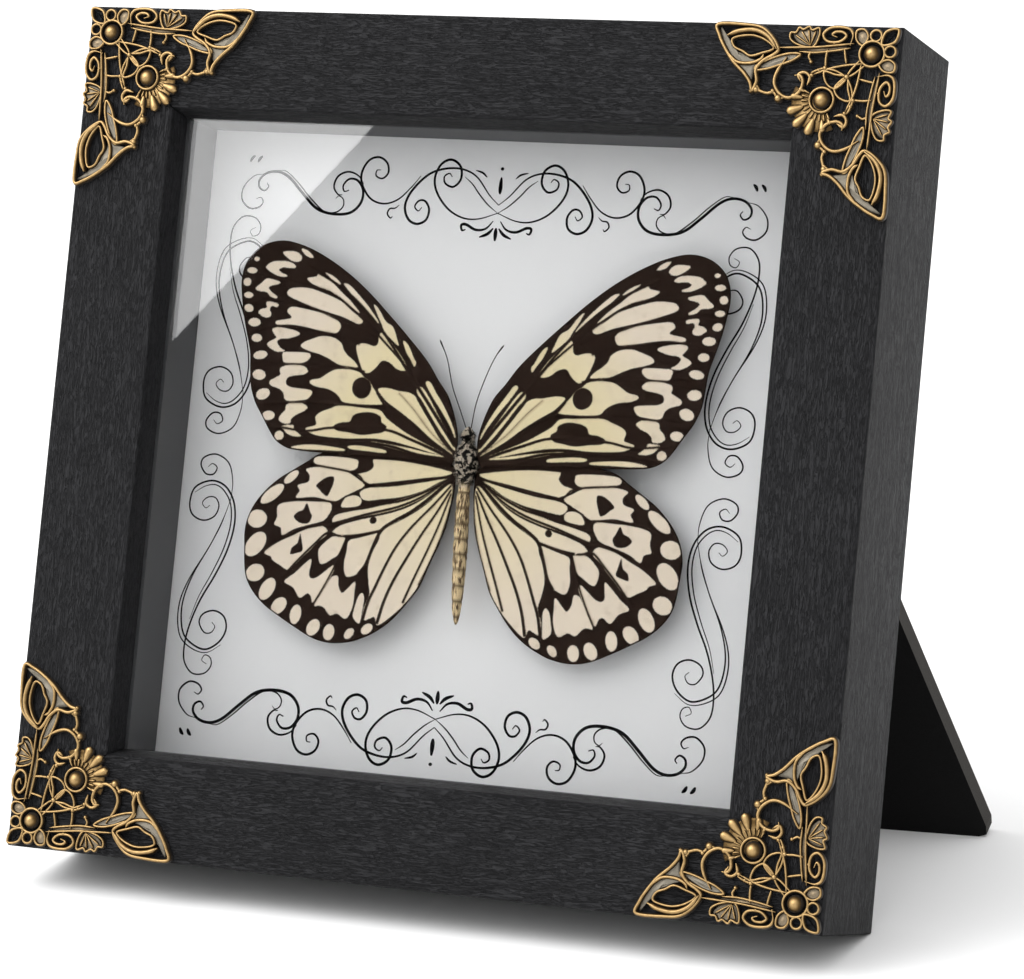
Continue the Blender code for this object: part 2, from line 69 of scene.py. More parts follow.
class Panel:
    """The leaning panel that holds every piece, in millimetres.

    Its place comes from the mount card, a flat box: the middle of a box stays the middle when it leans.
    """

    def __init__(self) -> None:
        """Measures the frame, and works out the panel's turn and where its own zero point lies."""
        self.turn = Matrix.Rotation(-TILT, 3, "X")
        left, right = self.span("rail_top", 0)
        self.side = right - left + GAP
        self.half = self.side / 2
        front, back = self.span("rail_left", 1)
        self.depth = back - front
        near, far = self.span("mount_card", 1)
        self.card = near - front
        middle = (near + far) / 2 - front
        low, high = (Vector(corner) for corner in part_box("mount_card"))
        self.zero = (low + high) / 2 - self.turn @ Vector((0, middle, self.half)) * MM

    def span(self, node: str, axis: int) -> tuple[float, float]:
        """Measures a node along one of the panel's own axes, from the world's zero point.

        Args:
            node: name of the node.
            axis: 0 for its width, 1 for its depth, 2 for its height.

        Returns:
            The lowest and highest value in millimetres.
        """
        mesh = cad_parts[node].data
        flat = np.empty(len(mesh.vertices) * 3)
        mesh.vertices.foreach_get("co", flat)
        along = (flat.reshape(-1, 3) @ np.array(self.turn)[:, axis]) / MM
        return float(along.min()), float(along.max())

    def place(self, points: np.ndarray) -> np.ndarray:
        """Carries panel points to the world: the panel's turn, then its place.

        Args:
            points: array (n, 3) in panel millimetres.

        Returns:
            Array (n, 3) in metres.
        """
        return points * MM @ np.array(self.turn).T + np.array(self.zero)

    def point(self, x: float, y: float, z: float) -> Vector:
        """Returns one panel point in the world."""
        return Vector(self.place(np.array([[x, y, z]]))[0])


panel = Panel()


# ---------------------------------------------------------------------------------------------- shapes


@dataclass
class Shape:
    """Points, faces and named values of a surface, in panel millimetres."""

    points: np.ndarray
    faces: list[list[int]]
    values: dict[str, np.ndarray] = field(default_factory=dict)

    @staticmethod
    def joined(parts: Sequence["Shape"]) -> "Shape":
        """Puts several shapes in one. A value that a shape lacks is 0 there."""
        starts = np.cumsum([0] + [len(part.points) for part in parts])
        faces = [[corner + int(start) for corner in face]
                 for part, start in zip(parts, starts) for face in part.faces]
        names = sorted({name for part in parts for name in part.values})
        values = {name: np.concatenate([part.values.get(name, np.zeros(len(part.points))) for part in parts])
                  for name in names}
        return Shape(np.concatenate([part.points for part in parts]), faces, values)

    def turned(self, turn: np.ndarray, about: Sequence[float]) -> "Shape":
        """Returns a copy turned by a 3 by 3 matrix about a point."""
        middle = np.array(about)
        return Shape((self.points - middle) @ turn.T + middle, self.faces, self.values)


def grid_faces(rows: int, columns: int, closed: bool = True) -> list[list[int]]:
    """Lists the quads of a grid whose points run row by row.

    Args:
        rows: number of rows.
        columns: points in a row.
        closed: whether the last point of a row meets its first.

    Returns:
        Corner numbers of each quad.
    """
    across = np.arange(columns if closed else columns - 1)
    start = np.arange(rows - 1)[:, None] * columns
    following = (across + 1) % columns
    quads = np.stack([start + across, start + following, start + columns + following,
                      start + columns + across], axis=-1)
    return quads.reshape(-1, 4).tolist()


def tube(rings: np.ndarray, values: dict[str, np.ndarray] | None = None) -> Shape:
    """Skins a stack of rings (n, k, 3) and closes both ends with a flat face."""
    count, around = rings.shape[:2]
    last = (count - 1) * around
    faces = grid_faces(count, around)
    faces += [list(range(around))[::-1], [last + i for i in range(around)]]
    return Shape(rings.reshape(-1, 3), faces, values or {})


def smooth(points: Points, steps: int = 8, closed: bool = False) -> np.ndarray:
    """Draws a smooth line through points: on each stretch a cubic whose slope at a point is half the step
    from the point before it to the point after it.

    Args:
        points: the points to pass through.
        steps: samples on each stretch.
        closed: whether the line returns to its start.

    Returns:
        Array (n, d) of samples.
    """
    knots = np.array(points, float)
    if closed:
        before, after, far = (np.roll(knots, shift, axis=0) for shift in (1, -1, -2))
        start = knots
    else:
        padded = np.vstack([2 * knots[0] - knots[1], knots, 2 * knots[-1] - knots[-2]])
        before, start, after, far = padded[:-3], padded[1:-2], padded[2:-1], padded[3:]
    t = (np.arange(steps) / steps)[None, :, None]
    before, start, after, far = (part[:, None, :] for part in (before, start, after, far))
    drawn = 0.5 * (2 * start + (after - before) * t + (2 * before - 5 * start + 4 * after - far) * t**2
                   + (3 * start - before - 3 * after + far) * t**3)
    drawn = drawn.reshape(-1, knots.shape[1])
    return drawn if closed else np.vstack([drawn, knots[-1]])


def evenly(line: np.ndarray, count: int, closed: bool = False) -> np.ndarray:
    """Samples a line at even steps along its length.

    Args:
        line: array (n, d).
        count: number of samples.
        closed: whether the line returns to its start, which is then not repeated.

    Returns:
        Array (count, d).
    """
    whole = np.vstack([line, line[:1]]) if closed else line
    length = np.concatenate([[0], np.cumsum(np.linalg.norm(np.diff(whole, axis=0), axis=1))])
    at = np.linspace(0, length[-1], count, endpoint=not closed)
    return np.stack([np.interp(at, length, whole[:, axis]) for axis in range(line.shape[1])], axis=-1)


def flat_normals(line: np.ndarray, closed: bool = False) -> np.ndarray:
    """Returns the unit normals of a flat line, a quarter turn to the left of its direction."""
    if closed:
        along = np.roll(line, -1, axis=0) - np.roll(line, 1, axis=0)
    else:
        along = np.gradient(line, axis=0)
    along = along / np.maximum(np.linalg.norm(along, axis=1, keepdims=True), 1e-9)
    return np.stack([-along[:, 1], along[:, 0]], axis=-1)


def bead_profile(count: int) -> tuple[np.ndarray, np.ndarray]:
    """A half-round section: shares across from -1 to 1, and heights from the arc above a flat base."""
    angle = np.linspace(math.pi, 0, count)
    return np.cos(angle), np.sin(angle)


HALF_ROUND = bead_profile(7)


def bar(line: np.ndarray, width: np.ndarray | float, height: np.ndarray | float, base: float,
        profile: tuple[np.ndarray, np.ndarray], closed: bool = False) -> Shape:
    """Carries a section along a flat line. A point is the line's point, plus its normal times half the
    width times the share across; it stands proud by the base plus the height times the section's height.

    Args:
        line: flat line (n, 2) in x and z.
        width: full width, for the whole line or for each point.
        height: height above the base, for the whole line or for each point.
        base: how far the flat underside stands in front of y = 0.
        profile: shares across and heights of the section.
        closed: whether the line returns to its start.

    Returns:
        A closed shape with the value crest, which is 1 along the top and 0 at the foot.
    """
    across, up = profile
    half = np.broadcast_to(np.asarray(width, float) / 2, len(line))[:, None]
    tall = np.broadcast_to(np.asarray(height, float), len(line))[:, None]
    normals = flat_normals(line, closed)
    flat = line[:, None, :] + normals[:, None, :] * (half * across)[:, :, None]
    rings = np.stack([flat[..., 0], -(base + tall * up), flat[..., 1]], axis=-1)
    crest = np.broadcast_to(up, rings.shape[:2]).reshape(-1)
    if not closed:
        return tube(rings, {"crest": crest.copy()})
    faces = grid_faces(len(line), len(across))
    last = (len(line) - 1) * len(across)
    ends = np.arange(len(across))
    following = np.roll(ends, -1)
    faces += np.stack([last + ends, last + following, following, ends], axis=-1).tolist()
    return Shape(rings.reshape(-1, 3), faces, {"crest": crest.copy()})


def dome(x: float, z: float, radius: float, height: float, base: float, around: int = 28) -> Shape:
    """A turned cap: the radius falls as a cosine while the height rises as a sine.

    Args:
        x: middle.
        z: middle.
        radius: radius at the foot.
        height: height at the middle.
        base: how far the foot stands in front of y = 0.
        around: points in a ring.

    Returns:
        A closed shape with the value crest.
    """
    rise = np.linspace(0, math.pi / 2 - 0.05, 9)[:, None]
    turn = np.linspace(0, 2 * math.pi, around, endpoint=False)[None, :]
    rings = np.stack([x + radius * np.cos(rise) * np.cos(turn),
                      -(base + height * np.sin(rise)) + 0 * turn,
                      z + radius * np.cos(rise) * np.sin(turn)], axis=-1)
    crest = np.broadcast_to(np.sin(rise), rings.shape[:2]).reshape(-1)
    return tube(rings, {"crest": crest.copy()})


def ring(x: float, z: float, radius: float, width: float, height: float, base: float) -> Shape:
    """A round rim: the half-round section carried round a circle."""
    turn = np.linspace(0, 2 * math.pi, 36, endpoint=False)
    line = np.stack([x + radius * np.cos(turn), z + radius * np.sin(turn)], axis=-1)
    return bar(line, width, height, base, HALF_ROUND, closed=True)


def distance_to_line(points: np.ndarray, line: np.ndarray) -> tuple[np.ndarray, np.ndarray]:
    """Measures points against a line of straight steps.

    Args:
        points: array (n, 2).
        line: array (m, 2).

    Returns:
        The distance to the nearest step, and the share of the line's steps at which it lies.
    """
    start, step = line[:-1], np.diff(line, axis=0)
    offset = points[:, None, :] - start[None, :, :]
    share = np.clip((offset * step).sum(-1) / np.maximum((step**2).sum(-1), 1e-12), 0, 1)
    gap = np.linalg.norm(offset - share[..., None] * step, axis=-1)
    nearest = gap.argmin(axis=1)
    rows = np.arange(len(points))
    return gap[rows, nearest], (nearest + share[rows, nearest]) / len(step)


def inside_depth(points: np.ndarray, outline: np.ndarray, reach: float = 2.0) -> np.ndarray:
    """Measures how deep points lie inside a closed outline: the distance to it, negative outside.

    A point is inside when a ray from it crosses the outline an odd number of times. Points further than
    reach from the outline's box count as reach outside.

    Args:
        points: array (n, 2).
        outline: array (m, 2).
        reach: the largest distance that matters.

    Returns:
        Array (n,) in the unit of the points.
    """
    depth = np.full(len(points), -reach)
    low, high = outline.min(0) - reach, outline.max(0) + reach
    near = np.flatnonzero(((points > low) & (points < high)).all(axis=1))
    if len(near) == 0:
        return depth
    some = points[near]
    whole = np.vstack([outline, outline[:1]])
    gap, _ = distance_to_line(some, whole)
    x0, z0, x1, z1 = whole[:-1, 0], whole[:-1, 1], whole[1:, 0], whole[1:, 1]
    x, z = some[:, :1], some[:, 1:]
    spans = (z0 > z) != (z1 > z)
    crossing = x0 + (z - z0) * (x1 - x0) / np.where(z1 == z0, 1e-9, z1 - z0)
    inside = ((spans & (x < crossing)).sum(axis=1) % 2).astype(bool)
    depth[near] = np.where(inside, gap, -gap)
    return depth


# ------------------------------------------------------------------------------------------- materials


class Value:
    """A node's output that can be used in arithmetic. Each operation adds one Math node."""

    def __init__(self, graph: "Graph", socket: bpy.types.NodeSocket) -> None:
        """Keeps the socket and the graph that it belongs to."""
        self.graph = graph
        self.socket = socket

    def _math(self, operation: str, *parts: "Value | float") -> "Value":
        """Adds a Math node over the parts, in their order."""
        inputs = dict(enumerate(parts))
        return self.graph.value("ShaderNodeMath", {"operation": operation}, inputs)

    def __add__(self, other: "Value | float") -> "Value":
        """Adds."""
        return self._math("ADD", self, other)

    __radd__ = __add__

    def __sub__(self, other: "Value | float") -> "Value":
        """Takes other away."""
        return self._math("SUBTRACT", self, other)

    def __rsub__(self, other: "Value | float") -> "Value":
        """Takes this away from other."""
        return self._math("SUBTRACT", other, self)

    def __mul__(self, other: "Value | float") -> "Value":
        """Multiplies."""
        return self._math("MULTIPLY", self, other)

    __rmul__ = __mul__

    def within(self, low: float, high: float) -> "Value":
        """Rises smoothly from 0 at low to 1 at high."""
        settings = {"interpolation_type": "SMOOTHSTEP"}
        return self.graph.value("ShaderNodeMapRange", settings, {"Value": self, 1: low, 2: high})


class Graph:
    """The nodes of one material, or of the world."""

    def __init__(self, owner: "bpy.types.Material | bpy.types.World") -> None:
        """Clears the owner's nodes."""
        self.owner = owner
        owner.use_nodes = True
        self.tree = owner.node_tree
        self.tree.nodes.clear()

    @classmethod
    def named(cls, name: str) -> "Graph":
        """Starts a new material."""
        return cls(bpy.data.materials.new(name))

    def node(self, kind: str, settings: dict | None = None, inputs: dict | None = None) -> bpy.types.Node:
        """Adds a node.

        Args:
            kind: the node's type.
            settings: its own properties, set first; stops holds a colour ramp's stops.
            inputs: values or links by socket name or number.

        Returns:
            The node.
        """
        made = self.tree.nodes.new(kind)
        for name, setting in (settings or {}).items():
            if name == "stops":
                self._set_stops(made.color_ramp, setting)
            else:
                setattr(made, name, setting)
        for key, value in (inputs or {}).items():
            if isinstance(value, Value):
                self.tree.links.new(value.socket, made.inputs[key])
            else:
                made.inputs[key].default_value = value
        return made

    @staticmethod
    def _set_stops(ramp: bpy.types.ColorRamp, stops: Sequence[tuple[float, Color]]) -> None:
        """Gives a ramp its stops, which are places and colours."""
        while len(ramp.elements) < len(stops):
            ramp.elements.new(1.0)
        for element, (place, color) in zip(ramp.elements, stops):
            element.position = place
            element.color = (*color, 1.0)

    def value(self, kind: str, settings: dict | None = None, inputs: dict | None = None,
              output: int | str = 0) -> Value:
        """Adds a node and returns one of its outputs."""
        return Value(self, self.node(kind, settings, inputs).outputs[output])

    def place_mm(self, scale: Sequence[float] = (1, 1, 1)) -> Value:
        """Returns the point in panel millimetres, stretched by a scale along each panel axis."""
        turn = panel.turn.inverted()
        zero = -(turn @ panel.zero) / MM
        here = self.value("ShaderNodeTexCoord", output="Object")
        inputs = {"Vector": here, "Location": zero, "Rotation": turn.to_euler(), "Scale": (1 / MM,) * 3}
        flat = self.value("ShaderNodeMapping", None, inputs)
        return self.value("ShaderNodeVectorMath", {"operation": "MULTIPLY"}, {0: flat, 1: tuple(scale)})

    def split(self, vector: Value) -> tuple[Value, Value, Value]:
        """Returns the three parts of a vector."""
        node = self.node("ShaderNodeSeparateXYZ", None, {0: vector})
        return tuple(Value(self, output) for output in node.outputs)

    def noise(self, at: Value, scale: float = 1.0, detail: float = 3.0, distortion: float = 0.0,
              roughness: float = 0.55) -> Value:
        """Returns a cloudy value about one half."""
        inputs = {"Vector": at, "Scale": scale, "Detail": detail, "Roughness": roughness,
                  "Distortion": distortion}
        return self.value("ShaderNodeTexNoise", None, inputs)

    def attribute(self, name: str) -> Value:
        """Returns a value kept on the mesh."""
        return self.value("ShaderNodeAttribute", {"attribute_name": name}, output="Fac")

    def mix(self, share: Value, low: "Value | Color", high: "Value | Color") -> Value:
        """Blends two colours."""
        low, high = ((*part, 1.0) if isinstance(part, tuple) else part for part in (low, high))
        return self.value("ShaderNodeMix", {"data_type": "RGBA"}, {0: share, 6: low, 7: high}, 2)

    def ramp(self, at: Value, stops: Sequence[tuple[float, Color]]) -> Value:
        """Returns a colour by a value's place among stops."""
        return self.value("ShaderNodeValToRGB", {"stops": stops}, {0: at})

    def bump(self, height: Value, depth_mm: float) -> Value:
        """Returns a normal that follows a height from 0 to 1, that many millimetres deep."""
        return self.value("ShaderNodeBump", None, {"Height": height, "Distance": depth_mm * MM}, "Normal")

    def finish(self, inputs: dict) -> bpy.types.Material:
        """Closes the material with one Principled shader."""
        shader = self.value("ShaderNodeBsdfPrincipled", None, inputs)
        self.node("ShaderNodeOutputMaterial", None, {"Surface": shader})
        return self.owner


class Grain(Enum):
    """The way a board's grain runs, as its stretch along the panel's x, y and z."""

    ACROSS = (0.12, 0.9, 0.9)
    UP = (0.9, 0.9, 0.12)


@dataclass(frozen=True)
class BlackWood:
    """Black stained wood with an embossed open-pore grain."""

    grain: Grain
    dark: Color = (0.0022, 0.0022, 0.0026)
    light: Color = (0.024, 0.024, 0.026)

    def make(self) -> bpy.types.Material:
        """Returns the material: long wavering pores over a fine fibre."""
        graph = Graph.named(f"black_wood_{self.grain.name.lower()}")
        at = graph.place_mm(self.grain.value)
        pores = graph.noise(at, 1.5, 4.0, 1.6, 0.62).within(0.43, 0.55)
        fibre = graph.noise(at, 5.0, 3.0, 0.5)
        broad = graph.noise(graph.place_mm(), 0.03, 2.0)
        relief = pores * 0.65 + fibre * 0.35
        # The raised pores are drawn a little lighter: partly the grain's own tone, partly a painted highlight
        # on the ridges.
        tone = pores * 0.2 + fibre.within(0.32, 0.72) * 0.5 + broad * 0.25
        return graph.finish({
            "Base Color": graph.mix(tone, self.dark, self.light),
            "Roughness": 0.62 - relief * 0.14,
            "Specular IOR Level": 0.10,
            "Normal": graph.bump(relief, 0.5),
        })


@dataclass(frozen=True)
class Board:
    """A fibreboard: dark faces, and a paler cut edge with layered fibres."""

    face: Color = (0.006, 0.006, 0.006)
    edge: Color = (0.042, 0.038, 0.034)
    shade: float = 0.6

    def make(self) -> bpy.types.Material:
        """Returns the material. A face is where the mesh's own normal points along the board's depth."""
        graph = Graph.named("black_board")
        normal = graph.value("ShaderNodeTexCoord", output="Normal")
        depth = panel.turn @ Vector((0, 1, 0))
        facing = graph.value("ShaderNodeVectorMath", {"operation": "DOT_PRODUCT"}, {0: normal, 1: depth},
                             "Value")
        face = (facing * facing).within(0.45, 0.7)
        fine = graph.noise(graph.place_mm(), 2.2, 5.0)
        layers = graph.noise(graph.place_mm((0.2, 3.0, 0.2)), 1.0, 3.0)
        edge = graph.mix(layers, tuple(part * self.shade for part in self.edge), self.edge)
        faces = graph.mix(fine, tuple(part * self.shade for part in self.face), self.face)
        return graph.finish({
            "Base Color": graph.mix(face, edge, faces),
            "Roughness": 0.8 - fine * 0.15,
            "Specular IOR Level": 0.1,
            "Normal": graph.bump(fine, 0.12),
        })


@dataclass(frozen=True)
class Brass:
    """Antique brass: bright where it stands proud, dark in its recesses, silvery on its leaf floors. The
    bright tops and the dark sides and recesses are partly the finish's own wear and patina, partly painted
    highlight and painted shade.
    """

    # The darkest colour is patina in the hollows and painted shade on the wire sides; the brightest is worn
    # brass and a painted highlight.
    patina_and_shade: Color = (0.018, 0.012, 0.007)
    body: Color = (0.12, 0.073, 0.028)
    bright: Color = (0.42, 0.28, 0.125)
    tarnish: Color = (0.05, 0.044, 0.034)
    silver: Color = (0.20, 0.18, 0.145)

    def make(self) -> bpy.types.Material:
        """Returns the material, led by the values crest and silver."""
        graph = Graph.named("antique_brass")
        crest = graph.attribute("crest")
        cloud = graph.noise(graph.place_mm(), 0.9, 4.0)
        speck = graph.noise(graph.place_mm(), 6.0, 2.0)
        # Height across each wire sets the tone: partly wear and patina of the finish, partly a painted
        # highlight along the tops and painted shade down the sides and at the foot of the leaf floors.
        tone_share = crest * crest + (cloud - 0.5) * 0.4
        stops = ((0.0, self.patina_and_shade), (0.30, self.patina_and_shade), (0.62, self.body), (0.98, self.bright))
        floor = graph.mix(tone_share.within(0.15, 0.75), self.tarnish, self.silver)
        return graph.finish({
            "Base Color": graph.mix(graph.attribute("silver"), graph.ramp(tone_share, stops), floor),
            "Metallic": tone_share.within(0.1, 0.5),
            "Roughness": 0.60 - tone_share * 0.22 + graph.attribute("silver") * 0.12,
            "Normal": graph.bump(speck * 0.5 + cloud * 0.5, 0.04),
        })


@dataclass(frozen=True)
class Plain:
    """A plain solid finish with a fine mottle."""

    name: str
    color: Color
    roughness: float
    metallic: float = 0.0
    scale: float = 1.5
    spread: float = 0.25
    depth: float = 0.02
    gloss: float = 0.5

    def make(self) -> bpy.types.Material:
        """Returns the material: a cloudy tone and roughness, and a shallow relief."""
        graph = Graph.named(self.name)
        cloud = graph.noise(graph.place_mm(), self.scale, 5.0)
        dull = tuple(part * (1 - self.spread) for part in self.color)
        return graph.finish({
            "Base Color": graph.mix(cloud, dull, self.color),
            "Roughness": self.roughness + (cloud - 0.5) * 0.15,
            "Metallic": self.metallic,
            "Specular IOR Level": self.gloss,
            "Normal": graph.bump(cloud, self.depth),
        })


@dataclass(frozen=True)
class Glass:
    """Clear polished glass."""

    ior: float = 1.5
    tint: Color = (0.985, 0.99, 0.99)

    def make(self) -> bpy.types.Material:
        """Returns the material: plain transmission, with a trace of haze in its gloss."""
        graph = Graph.named("clear_glass")
        haze = graph.noise(graph.place_mm(), 0.05, 2.0)
        return graph.finish({
            "Base Color": (*self.tint, 1.0),
            "Transmission Weight": 1.0,
            "IOR": self.ior,
            "Roughness": haze * 0.01,
        })


@dataclass(frozen=True)
class Wing:
    """Dry wing scales: cream patches on a brown ground."""

    brown: Color = (0.024, 0.013, 0.009)
    umber: Color = (0.016, 0.009, 0.006)
    yellow: Color = (0.82, 0.71, 0.45)
    pink: Color = (0.84, 0.73, 0.60)
    stain: Color = (0.40, 0.29, 0.17)

    def make(self) -> bpy.types.Material:
        """Returns the material, led by the values cream, vein and tint of each wing."""
        graph = Graph.named("wing_scales")
        at = graph.place_mm()
        scales = graph.noise(at, 5.0, 3.0)
        cloud = graph.noise(at, 0.35, 4.0)
        fray = (scales - 0.5) * 0.5
        cream = (graph.attribute("cream") + fray).within(-0.16, 0.16)
        near_vein = 1.0 - graph.attribute("vein").within(0.05, 0.7)
        stained = near_vein * 0.45 + scales * 0.16 + cloud.within(0.52, 0.75) * 0.22
        pale = graph.mix(graph.attribute("tint") + (cloud - 0.5) * 0.35, self.yellow, self.pink)
        pale = graph.mix(stained, pale, self.stain)
        dark = graph.mix(cloud * 0.6 + scales * 0.4, self.brown, self.umber)
        return graph.finish({
            "Base Color": graph.mix(cream, dark, pale),
            "Roughness": 0.82 - cream * 0.1,
            "Specular IOR Level": 0.1,
            "Normal": graph.bump(scales, 0.05),
        })


@dataclass(frozen=True)
class BodyHair:
    """The body: a dark mottled thorax and a beige abdomen, ringed and streaked."""

    dark: Color = (0.010, 0.008, 0.007)
    grey: Color = (0.60, 0.52, 0.42)
    beige: Color = (0.80, 0.62, 0.36)
    umber: Color = (0.12, 0.075, 0.04)
    waist: tuple[float, float] = (91.5, 94.5)

    def make(self) -> bpy.types.Material:
        """Returns the material. Height up the body tells thorax from abdomen."""
        graph = Graph.named("insect_body")
        at = graph.place_mm()
        _, _, up = graph.split(at)
        thorax = up.within(*self.waist)
        spots = graph.noise(at, 0.8, 3.0, 0.6).within(0.48, 0.58)
        fine = graph.noise(at, 4.0, 4.0)
        streak = graph.noise(graph.place_mm((2.0, 1.0, 0.35)), 1.0, 4.0, 0.6)
        mottled = graph.mix(spots, self.dark, self.grey)
        tone_share = streak.within(0.38, 0.56) * (1.0 - graph.attribute("seam") * 0.9)
        belly = graph.mix(tone_share, self.umber, self.beige)
        return graph.finish({
            "Base Color": graph.mix(thorax, belly, mottled),
            "Roughness": 0.78 - fine * 0.15,
            "Specular IOR Level": 0.15,
            "Normal": graph.bump(fine, 0.08),
        })


# ----------------------------------------------------------------------------------------------- pieces


def set_finish(mesh: bpy.types.Mesh, finish: bpy.types.Material) -> None:
    """Gives a mesh one material."""
    mesh.materials.clear()
    mesh.materials.append(finish)


def add_piece(name: str, shape: Shape, finish: bpy.types.Material, body: str = "frame",
              stands_for: Sequence[str] = (), sharp: float | None = None) -> bpy.types.Object:
    """Makes a piece of the object from a shape.

    Args:
        name: the piece's name.
        shape: its surface in panel millimetres.
        finish: its material.
        body: the body that it moves with.
        stands_for: nodes that it replaces.
        sharp: the angle in degrees past which an edge stays sharp; none keeps all smooth.

    Returns:
        The object, at the origin.
    """
    mesh = bpy.data.meshes.new(name)
    mesh.from_pydata(panel.place(shape.points).tolist(), [], shape.faces)
    for value_name, values in shape.values.items():
        layer = mesh.attributes.new(value_name, "FLOAT", "POINT")
        layer.data.foreach_set("value", np.ascontiguousarray(values, np.float32))
    loose = bmesh.new()
    loose.from_mesh(mesh)
    bmesh.ops.recalc_face_normals(loose, faces=loose.faces)
    loose.to_mesh(mesh)
    loose.free()
    mesh.shade_smooth()
    if sharp is not None:
        mesh.set_sharp_from_angle(angle=math.radians(sharp))
    set_finish(mesh, finish)
    made = bpy.data.objects.new(name, mesh)
    bpy.context.scene.collection.objects.link(made)
    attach(made, body)
    if stands_for:
        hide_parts(*stands_for)
    log.info("%s: %d faces", name, len(mesh.polygons))
    return made


def dress(nodes: Sequence[str], finish: bpy.types.Material) -> None:
    """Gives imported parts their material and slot."""
    for node in nodes:
        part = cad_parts[node]
        set_finish(part.data, finish)
        log.info("%s: packed part", node)


def softened(node: str, finish: bpy.types.Material, width: float, body: str) -> None:
    """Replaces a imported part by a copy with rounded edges.

    Args:
        node: the part.
        finish: its material.
        width: how far the rounding reaches, in millimetres.
        body: the body that it moves with.
    """
    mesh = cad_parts[node].data.copy()
    merged = bmesh.new()
    merged.from_mesh(mesh)
    bmesh.ops.remove_doubles(merged, verts=merged.verts, dist=SAME_PLACE)
    bmesh.ops.dissolve_limit(merged, angle_limit=FLAT, verts=merged.verts, edges=merged.edges)
    merged.to_mesh(mesh)
    merged.free()
    set_finish(mesh, finish)
    made = bpy.data.objects.new(f"{node}_board", mesh)
    bpy.context.scene.collection.objects.link(made)
    bevel = made.modifiers.new("rounding", "BEVEL")
    bevel.width = width * MM
    bevel.segments = 3
    bevel.limit_method = "ANGLE"
    bevel.angle_limit = CREASE
    mesh.shade_smooth()
    mesh.set_sharp_from_angle(angle=CREASE)
    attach(made, body)
    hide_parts(node)
    log.info("%s: rounded copy", node)


SIDES = (("bottom", 0, Grain.ACROSS), ("left", 90, Grain.UP), ("top", 180, Grain.ACROSS),
         ("right", 270, Grain.UP))


def about_middle(degrees: float) -> tuple[np.ndarray, tuple[float, float, float]]:
    """Returns a turn about the panel's depth, and the frame's middle to turn about."""
    return np.array(Matrix.Rotation(math.radians(degrees), 3, "Y")), (0, 0, panel.half)


@dataclass
class BoxFrame:
    """The wood rails and what they hold: glass, spacers, card and backing."""

    face: float = 23.7
    lip: float = 25.1
    lip_depth: float = 6.0
    wall: float = 21.0
    outer_round: float = 0.7
    lip_round: float = 0.6
    crease: float = 35.0

    def profile(self) -> np.ndarray:
        """Returns the rail's section as (inwards, back): straight sides joined by quarter circles."""
        quarter = np.linspace(0, math.pi / 2, 6)
        r = self.outer_round
        front = np.stack([r - r * np.cos(quarter), r - r * np.sin(quarter)], axis=-1)
        s = self.lip_round
        lip = np.stack([self.face - s + s * np.sin(quarter), s - s * np.cos(quarter)], axis=-1)
        back = np.array([(self.lip, self.lip_depth), (self.wall, self.lip_depth), (self.wall, panel.depth)])
        rear = np.stack([r - r * np.sin(quarter), panel.depth - r + r * np.cos(quarter)], axis=-1)
        return np.vstack([front, lip, back, rear])

    def rail(self, degrees: float) -> Shape:
        """Carries the section along one side. Both ends are cut at 45 degrees: a point stands back from
        the corner by as much as it lies inwards."""
        section = self.profile()
        inward = section[:, 0]
        reach = panel.half - inward - GAP / 2
        rings = np.stack([np.stack([side * reach, section[:, 1], inward], axis=-1)
                          for side in np.linspace(-1, 1, 3)])
        return tube(rings).turned(*about_middle(degrees))

    def build(self) -> None:
        """Makes the rails and dresses what they hold."""
        woods = {grain: BlackWood(grain).make() for grain in Grain}
        for place, degrees, grain in SIDES:
            name = f"rail_{place}"
            add_piece(f"{name}_wood", self.rail(degrees), woods[grain], "frame", (name,),
                      self.crease)
        dress(["glass_pane"], Glass().make())
        grey = Plain("grey_spacer", (0.13, 0.13, 0.135), 0.7, scale=0.8, spread=0.2, gloss=0.25).make()
        dress([f"spacer_{place}" for place, _, _ in SIDES], grey)
        card = Plain("white_card", (0.86, 0.86, 0.865), 0.85, scale=2.5, spread=0.03, gloss=0.2).make()
        dress(["mount_card"], card)
        foam = Plain("backing_foam", (0.8, 0.8, 0.78), 0.9, scale=1.2, spread=0.1).make()
        dress(["foam_block"], foam)


def mirrored(line: Points, about: float) -> Points:
    """Returns a line mirrored left to right about x."""
    return tuple((2 * about - x, z) for x, z in line)


